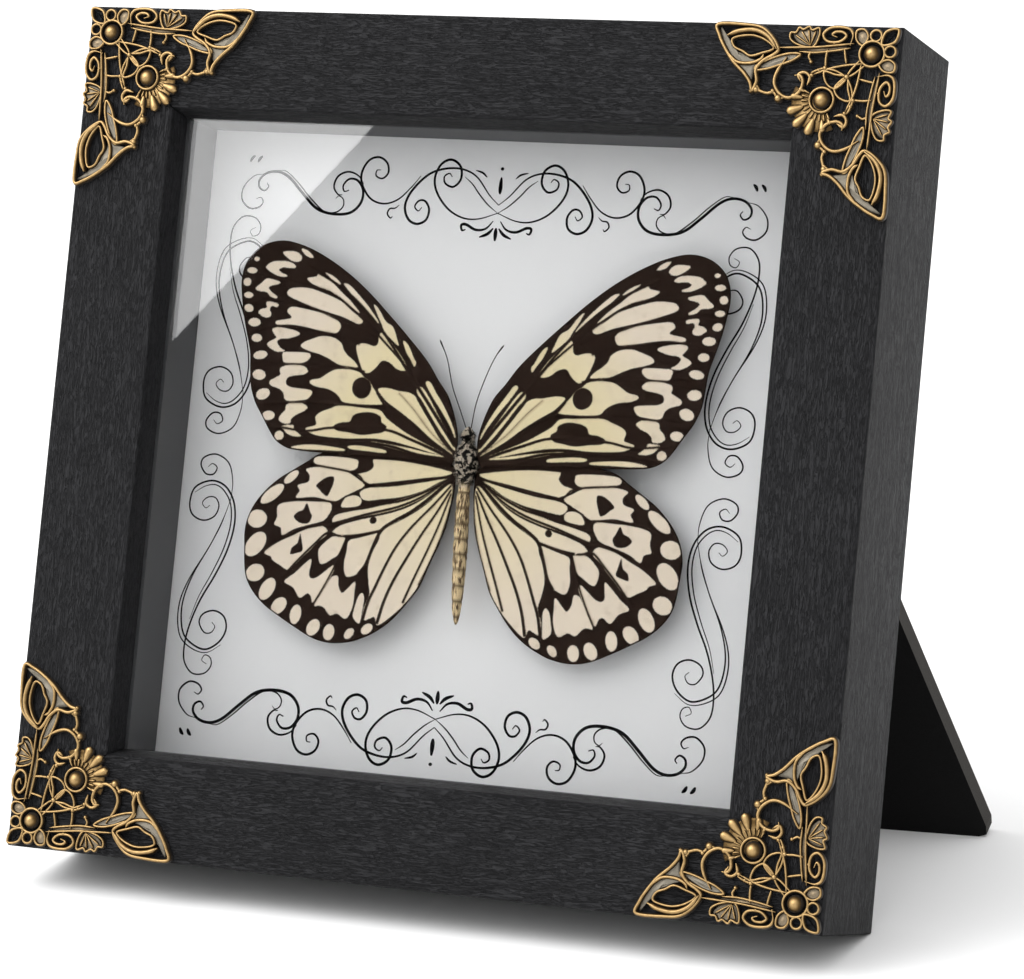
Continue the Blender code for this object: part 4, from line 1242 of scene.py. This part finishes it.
        (0.8, 0.6, ((-3.7, 99.0), (-12, 99.6), (-20, 101.3), (-30, 101.6), (-40, 101.3), (-47.6, 100.6))),
        (0.15, 0.1, ((-4.5, 101.2), (-9.5, 105.2), (-14, 110), (-18, 113.6))),
    ),
    (30.0, 48.0),
)

HINDWING = Marks(
    "hindwing",
    ((-3.2, 97.6), (-10.0, 99.6), (-20.0, 100.4), (-30.0, 99.8), (-36.4, 98.6), (-40.0, 96.4),
     (-43.4, 94.2), (-47.0, 91.8), (-50.1, 88.9), (-52.6, 85.6), (-54.1, 82.2), (-54.6, 78.8),
     (-54.3, 75.2), (-53.9, 71.4), (-53.0, 67.8), (-50.8, 64.6), (-47.6, 61.8), (-43.8, 59.6),
     (-39.4, 57.3), (-34.6, 55.1), (-30.0, 54.3), (-25.2, 54.9), (-22.2, 56.0), (-19.4, 57.4),
     (-16.3, 59.6), (-13.8, 62.1), (-11.3, 65.3), (-8.8, 69.0), (-6.9, 74.0), (-5.0, 79.0), (-3.6, 83.4),
     (-2.9, 87.8), (-2.4, 92.6)),
    (-29.0, 80.0), 17.5,
    (
        ((-38.4, 96.5), (-37.5, 97.6), (-33.1, 97.9), (-27.8, 97.6), (-27.1, 96.5), (-27.5, 95.4),
         (-29.4, 94.8), (-33.1, 95.3), (-36.9, 95.6)),
        ((-23.4, 97.6), (-22.5, 97.9), (-16.3, 97.9), (-10, 97.3), (-5, 96.5), (-3.4, 96), (-5.6, 95.1),
         (-10, 94.4), (-16.3, 93.3), (-22.5, 92.3), (-24.1, 92.3), (-26.9, 94), (-24.4, 94.9),
         (-23.1, 96.2)),
        ((-25.9, 89.8), (-23.8, 91.1), (-17.5, 91.9), (-10, 93.4), (-4.4, 94.6), (-6.9, 93.4), (-10, 91.5),
         (-15, 89.7), (-20, 88.8), (-24.4, 88.2)),
        ((-40, 94.6), (-35, 95.3), (-30, 94.6), (-26.9, 93.1), (-24.9, 91.7), (-26.9, 90.3), (-29.4, 89),
         (-31.6, 87.6), (-33.8, 87.6), (-37.5, 88.1), (-41.9, 87.6), (-41.3, 89.3), (-41.9, 90.6),
         (-39.4, 91.5), (-39.1, 93.1)),
        ((-30.3, 86.8), (-29.4, 88.4), (-27.5, 89.1), (-25.9, 88.8), (-25.3, 87.8), (-25.9, 86.8),
         (-28.1, 86.3), (-30, 86.2)),
        ((-46.6, 85.2), (-45, 86.2), (-41.3, 86.8), (-36.9, 87), (-33.3, 87), (-32.7, 85.5), (-33.8, 83.4),
         (-35, 82.5), (-38.1, 81.5), (-41.9, 80.2), (-44.6, 78.6), (-45.3, 80.3), (-47, 81), (-46.5, 82.8)),
        ((-48.8, 74.3), (-45.6, 76.8), (-41.9, 78.7), (-38.8, 80.3), (-35, 81.4), (-33.3, 80.6),
         (-33.4, 79.3), (-35.3, 77.8), (-36.9, 75.9), (-38.8, 74), (-40.6, 72.1), (-42.5, 70.6),
         (-44.5, 71.5), (-46.5, 72.5), (-47.2, 73.4)),
        ((-43, 67.8), (-40.6, 69.9), (-38.1, 72.4), (-36.6, 73.4), (-36.9, 69.9), (-35.9, 69),
         (-34.4, 69.6), (-32.5, 71.2), (-30.9, 72.4), (-30.6, 71.2), (-31.9, 68.4), (-33.1, 66.5),
         (-34.4, 64.3), (-35.3, 63.4), (-35.9, 64.9), (-36.9, 65.4), (-38.8, 64.3), (-40.6, 66.5)),
        ((-35, 75.6), (-33.8, 77.4), (-31.9, 79), (-30, 79.3), (-28.4, 78.9), (-29.1, 76.8), (-30, 74.9),
         (-31.3, 74), (-33.1, 72.8), (-34.4, 72.8)),
        ((-34.7, 62.8), (-33.1, 65.9), (-31.6, 68.7), (-30.6, 69.9), (-29.4, 69.9), (-29.1, 67.8),
         (-28.1, 66.2), (-26.9, 67.1), (-25, 69), (-24.9, 66.5), (-25, 63.4), (-25.9, 60.9),
         (-26.9, 60.3), (-28.8, 61.3), (-30.6, 60.8), (-32.2, 62.4), (-33.4, 62.8)),
        ((-27.5, 78.4), (-25, 79.3), (-22.5, 80.1), (-20.3, 80.6), (-20.6, 78.4), (-21.6, 75.3),
         (-22.5, 73.1), (-23.8, 71.5), (-25.9, 70.3), (-27.5, 70.3), (-28.2, 72.8), (-27.8, 75.9)),
        ((-31.9, 82.4), (-31.6, 84.1), (-27.5, 85.4), (-22.5, 86.5), (-16.3, 88.6), (-10.6, 90.9),
         (-5.2, 93.9), (-8.8, 90.6), (-13.8, 87.7), (-19.4, 85.7), (-25, 84.3), (-28.8, 83.1)),
        ((-31.9, 79.9), (-30.6, 81.5), (-27.5, 82.8), (-23.1, 84.1), (-19.4, 85.1), (-15, 86.6),
         (-11.3, 88.5), (-7.5, 91.3), (-3.8, 94.3), (-6.3, 91.2), (-10, 87.8), (-13.8, 85.3),
         (-16.9, 83.1), (-19.1, 81.8), (-22.5, 80.9), (-26.9, 79.9), (-30, 79.5)),
        ((-19.5, 81.5), (-16.3, 83.3), (-12.5, 85.6), (-8.8, 88.4), (-4.2, 93.0), (-2.9, 92.6),
         (-3.2, 87.4), (-4.2, 82.4), (-5.7, 77.4), (-7.3, 72.7), (-9.5, 68.4), (-12.1, 64.8),
         (-14.9, 61.9), (-18.2, 59.4), (-19.2, 61.2), (-20.4, 60.8), (-21.8, 60.4), (-22.1, 63),
         (-21, 66.2), (-21.5, 69), (-22, 72.3), (-21.3, 76), (-19.9, 79.3)),
        ((-24.7, 60.9), (-24.4, 63.4), (-23.8, 65.6), (-22.9, 66.5), (-22.3, 65.3), (-22.5, 62.1),
         (-22.7, 59.9), (-23.3, 59.5)),
    ),
    ((-43.8, 92.4, 2.2, 0.95, 42), (-48.3, 88.1, 3.5, 1.4, 40), (-51.6, 82, 2.5, 2.1, 10),
     (-51.4, 76, 3.4, 2.1, 52), (-50.8, 69.3, 2.4, 2.0, 25), (-47.3, 65.7, 2.9, 1.7, 60),
     (-43.9, 62, 2.3, 1.6, 48), (-39.4, 60.3, 2.3, 1.4, 80), (-34.6, 57.6, 2.1, 1.5, 58),
     (-30.5, 56.8, 1.9, 1.4, 80), (-25.3, 56.9, 1.5, 0.95, 50), (-20.9, 58.3, 1.6, 1.05, 38)),
    (
        ((-37.2, 90.9), (-35, 92.8), (-33, 93.2), (-32.8, 91.8), (-33.4, 89.9), (-34.1, 88.5), (-35.3, 89),
         (-36.3, 89.9)),
        ((-42.2, 83.1), (-41.3, 84.3), (-40, 84.9), (-39.1, 86.5), (-38.1, 84.6), (-37.5, 83.4),
         (-38.4, 81.8), (-40.6, 81.8)),
        ((-42.2, 74.3), (-41.9, 75.9), (-40.6, 77.1), (-40.1, 79.3), (-39.4, 77.1), (-39.1, 75.3),
         (-40.6, 74.6)),
        ((-22.8, 83.7), (-22.3, 84.5), (-21.4, 84.4), (-21, 83.6), (-21.5, 82.9), (-22.4, 82.9)),
    ),
    (
        (0.9, 0.8, ((-3.4, 94.6), (-7.8, 90.2), (-12.4, 86.4), (-16.6, 83.8), (-19.6, 81.4), (-21.2, 77.6),
                    (-22.6, 73.4), (-24.2, 71.0))),
        (0.5, 0.8, ((-3.3, 93.0), (-7.2, 88.2), (-12, 82.8), (-15.5, 77.8), (-18, 72.5), (-19.8, 68),
                    (-21.2, 64.5), (-22.2, 60))),
        (0.5, 0.8, ((-3.2, 92), (-6.2, 86.5), (-9.5, 81), (-12.5, 75.5), (-15.3, 70), (-17.2, 65),
                    (-18.4, 60))),
        (0.45, 0.6, ((-3.1, 91), (-5.2, 84), (-7.6, 77.5), (-10, 71.5), (-12.4, 65.2))),
        (0.2, 0.35, ((-3, 88), (-4.3, 82), (-6.4, 75.5), (-8.9, 69.6))),
        (0.5, 0.5, ((-3.4, 95.2), (-10, 94), (-16.3, 92.6), (-24, 91.8), (-27.5, 94.3), (-38, 95.6))),
        (0.6, 0.7, ((-3.6, 94.9), (-8, 92), (-14.4, 89), (-20, 87.6), (-26, 86.2), (-32.4, 84.8))),
        (0.5, 0.7, ((-4, 94.5), (-10, 90.1), (-16, 87.2), (-24, 84.8), (-31.8, 82.2), (-34, 82))),
        (0.6, 0.5, ((-19.6, 81.4), (-25, 80), (-30, 79.4), (-33, 80), (-36.4, 76.8), (-40, 73),
                    (-43.4, 69))),
        (0.6, 0.5, ((-33.4, 82), (-38, 80.9), (-42, 79.4), (-46, 77.2), (-49.4, 74.2))),
        (0.5, 0.4, ((-32.4, 87.2), (-38, 87.5), (-44, 86.9), (-51, 85.2))),
        (0.5, 0.4, ((-28.2, 78.8), (-29.5, 75), (-30.8, 71.4), (-33, 66.8), (-35.4, 62.4))),
    ),
    (6.0, 38.0),
)


@dataclass
class WingBlade:
    """A thin wing: a fine grid of rings about a middle, raised along its veins."""

    marks: Marks
    around: int = 560
    rings: int = 92
    back_rings: int = 10
    thickness: float = 0.22
    root: tuple[float, float] = (-3.0, 99.0)
    camber: float = 0.9
    span: float = 60.0
    ridge: float = 0.16
    ridge_spread: float = 0.4
    hollow: float = 0.09
    hollow_reach: float = 3.0
    rim_width: float = 0.3
    back_gap: float = 0.1

    def pattern(self, flat: np.ndarray) -> tuple[np.ndarray, np.ndarray]:
        """Measures the markings at flat points.

        A pale patch's depth is positive inside it. Dark spots, veins and the rim then cut into it: the
        least of the depths and the distances past each dark edge is kept.

        Args:
            flat: points (n, 2).

        Returns:
            The depth inside pale ground, and the distance to the nearest vein.
        """
        marks = self.marks
        outlines = [smooth(patch, 5, closed=True) for patch in marks.patches]
        turn = np.linspace(0, 2 * math.pi, 28, endpoint=False)
        for x, z, long, wide, lean in marks.margin:
            c, s = math.cos(math.radians(lean)), math.sin(math.radians(lean))
            across, up = long * np.cos(turn), wide * np.sin(turn)
            outlines.append(np.stack([x + across * c - up * s, z + across * s + up * c], axis=-1))
        cream = np.max([inside_depth(flat, outline) for outline in outlines], axis=0)
        for spot in marks.spots:
            cream = np.minimum(cream, -inside_depth(flat, smooth(spot, 6, closed=True)))
        nearest = np.full(len(flat), 9.0)
        for first, last, line in marks.veins:
            gap, share = distance_to_line(flat, smooth(line, 4))
            cream = np.minimum(cream, gap - (first + (last - first) * share) / 2)
            nearest = np.minimum(nearest, gap)
        rim, _ = distance_to_line(flat, np.vstack([self.edge(), self.edge()[:1]]))
        return np.clip(np.minimum(cream, rim - self.rim_width), -2, 2), nearest

    def edge(self) -> np.ndarray:
        """Returns the wing's outline at even steps."""
        return evenly(smooth(self.marks.outline, 10, closed=True), self.around, closed=True)

    def sheet(self, shares: np.ndarray) -> np.ndarray:
        """Returns flat points: the middle plus a share of the way to each point of the outline."""
        middle = np.array(self.marks.middle)
        return (middle + (self.edge() - middle) * shares[:, None, None]).reshape(-1, 2)

    def depth(self, flat: np.ndarray) -> np.ndarray:
        """Returns the front's depth: the blade bows forward as a sine from its root to its tip."""
        way = np.linalg.norm(flat - np.array(self.root), axis=1) / self.span
        return self.marks.front - self.camber * np.sin(np.pi * np.clip(way, 0, 1)) * 0.5

    def shape(self) -> Shape:
        """Makes the blade: front rings from the middle out, then back rings from the edge in."""
        out = np.linspace(0.012, 1, self.rings) ** 0.8
        front = self.sheet(out)
        cream, vein = self.pattern(front)
        raised = (self.depth(front) - self.ridge * np.exp(-((vein / self.ridge_spread) ** 2))
                  + self.hollow * np.clip(vein / self.hollow_reach, 0, 1))
        back = self.sheet(np.linspace(1, 0.02, self.back_rings))
        behind = self.depth(back) + self.thickness + self.back_gap
        flat = np.vstack([front, back])
        points = np.stack([flat[:, 0], np.concatenate([raised, behind]), flat[:, 1]], axis=-1)
        reach = np.linalg.norm(flat - np.array(self.root), axis=1)
        low, high = self.marks.pink
        tint = np.clip((reach - low) / (high - low), 0, 1)
        fill = np.full(len(back), -2.0)
        shape = tube(points.reshape(-1, self.around, 3))
        shape.values = {"cream": np.concatenate([cream, fill]), "vein": np.concatenate([vein, fill + 5]),
                        "tint": tint}
        return shape


@dataclass
class Specimen:
    """The butterfly: two wings a side, a ringed body with short hair, and clubbed antennae."""

    forewing_turn: float = 1.6
    root: tuple[float, float] = (3.0, 100.0)
    hairs: int = 3200
    # up the body: z, middle x, middle y, half width, half thickness
    stations: tuple = (
        (61.1, 0.9, 17.8, 0.15, 0.2), (62.2, 0.9, 17.8, 0.6, 0.7), (65, 0.8, 17.7, 1.05, 1.2),
        (70, 0.7, 17.6, 1.4, 1.6), (78, 0.45, 17.5, 1.65, 1.85), (86, 0.15, 17.4, 1.6, 1.85),
        (90.5, 0.0, 17.4, 1.45, 1.7), (93.2, 0, 17.4, 1.35, 1.6), (95.2, 0, 17.5, 1.9, 2.2),
        (97.4, 0, 17.6, 2.6, 2.8), (99.6, 0, 17.6, 2.75, 3.0), (101.8, 0, 17.3, 2.1, 2.4),
        (103.1, 0, 17.0, 1.25, 1.45), (104.0, 0, 16.8, 1.3, 1.4), (105.3, 0, 16.7, 1.45, 1.4),
        (106.4, 0, 16.7, 0.85, 0.9), (107.0, 0, 16.7, 0.2, 0.25),
    )
    waist: float = 92.0
    tail: float = 61.0
    segment: float = 3.6
    groove: float = 0.07
    groove_width: float = 0.13
    flank_width: float = 0.28
    hair_rows: tuple[float, float] = (93.6, 106)
    hair_lean: tuple[float, float] = (-0.9, -0.1)
    hair_length: tuple[float, float] = (0.45, 1.0)
    hair_width: float = 0.045
    hair_root: float = 0.95
    feeler_radius: float = 0.13
    club_radius: float = 0.09
    club_start: float = 0.88
    club_rise: float = 0.08
    feelers: tuple = (("left", ((-0.7, 106.7), (-2.5, 110.6), (-5.0, 116.0), (-7.0, 122.4), (-9.3, 126.8))),
                      ("right", ((0.6, 106.7), (1.3, 112.6), (3.0, 118.6), (4.9, 123.4), (6.8, 126.4))))
    feeler_depth: float = 16.6

    def body(self) -> Shape:
        """Makes the body: rings of an oval whose size follows the stations, with a groove between the
        abdomen's segments and a fine unevenness made of three sines."""
        line = smooth(self.stations, 12)
        z, x, y, wide, thick = line.T
        along = (z - self.tail) / self.segment % 1
        groove = 1 - self.groove * np.exp(-((along - 0.5) / self.groove_width) ** 2) * (z < self.waist)
        turn = np.linspace(0, 2 * math.pi, 48, endpoint=False)[None, :]
        uneven = (1 + 0.025 * np.sin(5 * turn + z[:, None] * 1.7) + 0.02 * np.sin(9 * turn - z[:, None] * 2.9)
                  + 0.02 * np.sin(3 * turn + z[:, None] * 4.1))
        rings = np.stack([x[:, None] + (wide * groove)[:, None] * uneven * np.cos(turn),
                          y[:, None] + (thick * groove)[:, None] * uneven * np.sin(turn),
                          z[:, None] + 0 * turn], axis=-1)
        flank = np.exp(-(((turn + math.pi / 2) / self.flank_width) ** 2)) + 0 * z[:, None]
        segment = (1 - groove[:, None]) / self.groove + 0 * turn
        below = (z < self.waist)[:, None]
        return tube(rings, {"seam": (np.clip(np.maximum(flank, segment), 0, 1) * below).reshape(-1)})

    def hair(self) -> Shape:
        """Makes short hairs on the thorax and head: slim three-sided spikes that lean down the body."""
        draw = np.random.default_rng(SEED)
        line = smooth(self.stations, 12)
        z = draw.uniform(*self.hair_rows, self.hairs)
        x, y, wide, thick = (np.interp(z, line[:, 0], line[:, part]) for part in (1, 2, 3, 4))
        turn = draw.uniform(0, 2 * math.pi, self.hairs)
        out = np.stack([np.cos(turn), np.sin(turn), draw.uniform(*self.hair_lean, self.hairs)], axis=-1)
        foot = np.stack([x + wide * self.hair_root * np.cos(turn),
                         y + thick * self.hair_root * np.sin(turn), z], axis=-1)
        side = np.stack([-np.sin(turn), np.cos(turn), 0 * turn], axis=-1)
        over = np.cross(out, side)
        thin = self.hair_width
        corners = [foot + side * thin, foot - side * thin, foot + over * thin,
                   foot + out * draw.uniform(*self.hair_length, self.hairs)[:, None]]
        points = np.stack(corners, axis=1).reshape(-1, 3)
        first = (np.arange(self.hairs) * 4)[:, None]
        faces = [(first + np.array(face)).tolist() for face in ((0, 1, 3), (1, 2, 3), (2, 0, 3), (0, 2, 1))]
        return Shape(points, [face for group in faces for face in group])

    def feeler(self, route: Points) -> Shape:
        """Makes an antenna: circles along a smooth line, thicker over the last eighth of its length."""
        line = evenly(smooth(route, 12), 60)
        normals = flat_normals(line)
        share = np.linspace(0, 1, len(line))
        club = np.clip((share - self.club_start) / self.club_rise, 0, 1)
        radius = ((self.feeler_radius + self.club_radius * club)
                  * np.sqrt(np.clip((1 - share) * 30, 0.05, 1)))
        turn = np.linspace(0, 2 * math.pi, 10, endpoint=False)[None, :]
        side = normals[:, None, :] * (radius[:, None] * np.cos(turn))[:, :, None]
        rings = np.stack([line[:, None, 0] + side[..., 0], self.feeler_depth + radius[:, None] * np.sin(turn),
                          line[:, None, 1] + side[..., 1]], axis=-1)
        return tube(rings)

    def right(self, shape: Shape, degrees: float) -> Shape:
        """Mirrors a left wing and turns its tip up about its root."""
        points = shape.points * np.array([-1, 1, 1])
        turn = np.array(Matrix.Rotation(math.radians(-degrees), 3, "Y"))
        x, z = self.root
        return Shape(points, shape.faces, shape.values).turned(turn, (x, 0, z))

    def build(self) -> None:
        """Makes the wings, body, hair and antennae, and dresses the pad."""
        scales = Wing().make()
        for marks, turn in ((FOREWING, self.forewing_turn), (HINDWING, 0.0)):
            left = WingBlade(marks).shape()
            for side, shape in (("left", left), ("right", self.right(left, turn))):
                node = f"{marks.name}_{side}"
                add_piece(f"{node}_blade", shape, scales, "frame", (node,))
        skin = BodyHair().make()
        add_piece("butterfly_torso", self.body(), skin, "frame", ("butterfly_body",))
        add_piece("butterfly_hair", self.hair(), skin)
        horn = Plain("dark_horn", (0.014, 0.010, 0.008), 0.5, scale=4.0, gloss=0.2).make()
        for side, route in self.feelers:
            node = f"antenna_{side}"
            add_piece(f"{node}_feeler", self.feeler(route), horn, "frame", (node,))
        foam = Plain("pad_foam", (0.75, 0.75, 0.72), 0.9, scale=2.0, spread=0.1, depth=0.05).make()
        dress(["specimen_pad"], foam)


@dataclass
class Stand:
    """What shows behind: back board, strut, hinge and screws."""

    rounding: float = 0.5

    def build(self) -> None:
        """Dresses the board and the steel, and rounds the strut's edges."""
        board = Board().make()
        dress(["back_board"], board)
        softened("strut", board, self.rounding, "strut")
        steel = Plain("steel", (0.42, 0.42, 0.43), 0.35, 1.0, scale=2.5, spread=0.3, depth=0.01).make()
        names = [f"back_screw_{number}" for number in range(1, 5)]
        names += [f"hinge_rivet_{number}" for number in range(1, 5)]
        dress([*names, "hinge_leaf_back", "hinge_leaf_strut", "hinge_pin"], steel)


@dataclass
class Studio:
    """A pale floor, soft light and the camera."""

    eye: tuple[float, float, float] = (341.2, -836.0, 38.45)
    swing: float = 21.46
    dip: float = 10.56
    lens: float = 139.8
    near_clip: float = 0.05
    sky: float = 0.99
    patch: tuple[float, float, float] = (-0.55, -0.60, 0.75)
    patch_glow: float = 2.4
    patch_edge: tuple[float, float] = (0.62, 0.98)
    key_place: tuple[float, float, float] = (-0.9, -1.0, 1.3)
    key_size: float = 0.9
    key_power: float = 10.0
    key_aim: tuple[float, float, float] = (0.0, 0.0, 0.1)
    floor_half: float = 8.0
    sheet_depth: float = 1500.0
    flag: tuple = ((-1000, -120), (-1000, 58), (-563, 560), (-260, 560), (-260, -120))
    softbox: tuple = ((-1000, 58), (-563, 560), (-1000, 560))
    softbox_glow: float = 4.5

    def camera(self) -> None:
        """Sets the camera up, looking down at the frame from its right."""
        data = bpy.data.cameras.new("camera")
        data.lens = self.lens
        data.clip_start = self.near_clip
        made = bpy.data.objects.new("camera", data)
        bpy.context.scene.collection.objects.link(made)
        made.location = panel.point(*self.eye)
        made.rotation_euler = (math.radians(90 - self.dip), 0, math.radians(self.swing))
        bpy.context.scene.camera = made

    def key(self) -> None:
        """Adds a square soft light that faces the frame."""
        data = bpy.data.lights.new("key", "AREA")
        data.size = self.key_size
        data.energy = self.key_power
        made = bpy.data.objects.new("key", data)
        bpy.context.scene.collection.objects.link(made)
        made.location = self.key_place
        made.rotation_euler = (Vector(self.key_aim) - made.location).to_track_quat("-Z", "Y").to_euler()

    def reflection(self, name: str, outline: Points, glow: float) -> None:
        """Hangs a sheet far in front that only reflections and light through the glass see.

        Args:
            name: its name.
            outline: its corners, as panel x and z.
            glow: how bright it is; 0 is a black flag.
        """
        mesh = bpy.data.meshes.new(name)
        corners = panel.place(np.array([(x, -self.sheet_depth, z) for x, z in outline]))
        mesh.from_pydata(corners.tolist(), [], [tuple(range(len(outline)))])
        graph = Graph.named(name)
        light = graph.value("ShaderNodeEmission", None, {"Color": (1, 1, 1, 1), "Strength": glow})
        graph.node("ShaderNodeOutputMaterial", None, {"Surface": light})
        set_finish(mesh, graph.owner)
        made = bpy.data.objects.new(name, mesh)
        bpy.context.scene.collection.objects.link(made)
        made.visible_camera = made.visible_diffuse = made.visible_shadow = False

    def ground(self) -> None:
        """Adds the floor."""
        reach = self.floor_half
        mesh = bpy.data.meshes.new("floor")
        corners = [(-reach, -reach, 0), (reach, -reach, 0), (reach, reach, 0), (-reach, reach, 0)]
        mesh.from_pydata(corners, [], [(0, 1, 2, 3)])
        set_finish(mesh, Plain("pale_floor", (0.9, 0.9, 0.9), 0.9, scale=0.02, spread=0.02).make())
        floor = bpy.data.objects.new("floor", mesh)
        bpy.context.scene.collection.objects.link(floor)

    def sky_light(self) -> None:
        """Lights the scene from all round, more from a soft patch of sky at the upper left front."""
        graph = Graph(bpy.data.worlds.new("studio"))
        toward = graph.value("ShaderNodeTexCoord", output="Generated")
        patch = Vector(self.patch).normalized()
        facing = graph.value("ShaderNodeVectorMath", {"operation": "DOT_PRODUCT"}, {0: toward, 1: patch},
                             "Value")
        strength = self.sky + facing.within(*self.patch_edge) * self.patch_glow
        light = graph.value("ShaderNodeBackground", None, {"Color": (1, 1, 1, 1), "Strength": strength})
        graph.node("ShaderNodeOutputWorld", None, {"Surface": light})
        bpy.context.scene.world = graph.owner

    def build(self) -> None:
        """Sets up the sky, the floor, both sheets, the key light and the camera."""
        self.sky_light()
        bpy.context.scene.view_settings.view_transform = "Standard"
        self.ground()
        self.reflection("flag", self.flag, 0.0)
        self.reflection("softbox", self.softbox, self.softbox_glow)
        self.key()
        self.camera()


def main() -> None:
    """Builds everything in order."""
    logging.basicConfig(level=logging.INFO, format="%(message)s")
    Studio().build()
    for part in (BoxFrame(), Scrollwork(), BrassCorners(), Specimen(), Stand()):
        part.build()


if __name__ == "__main__":
    main()
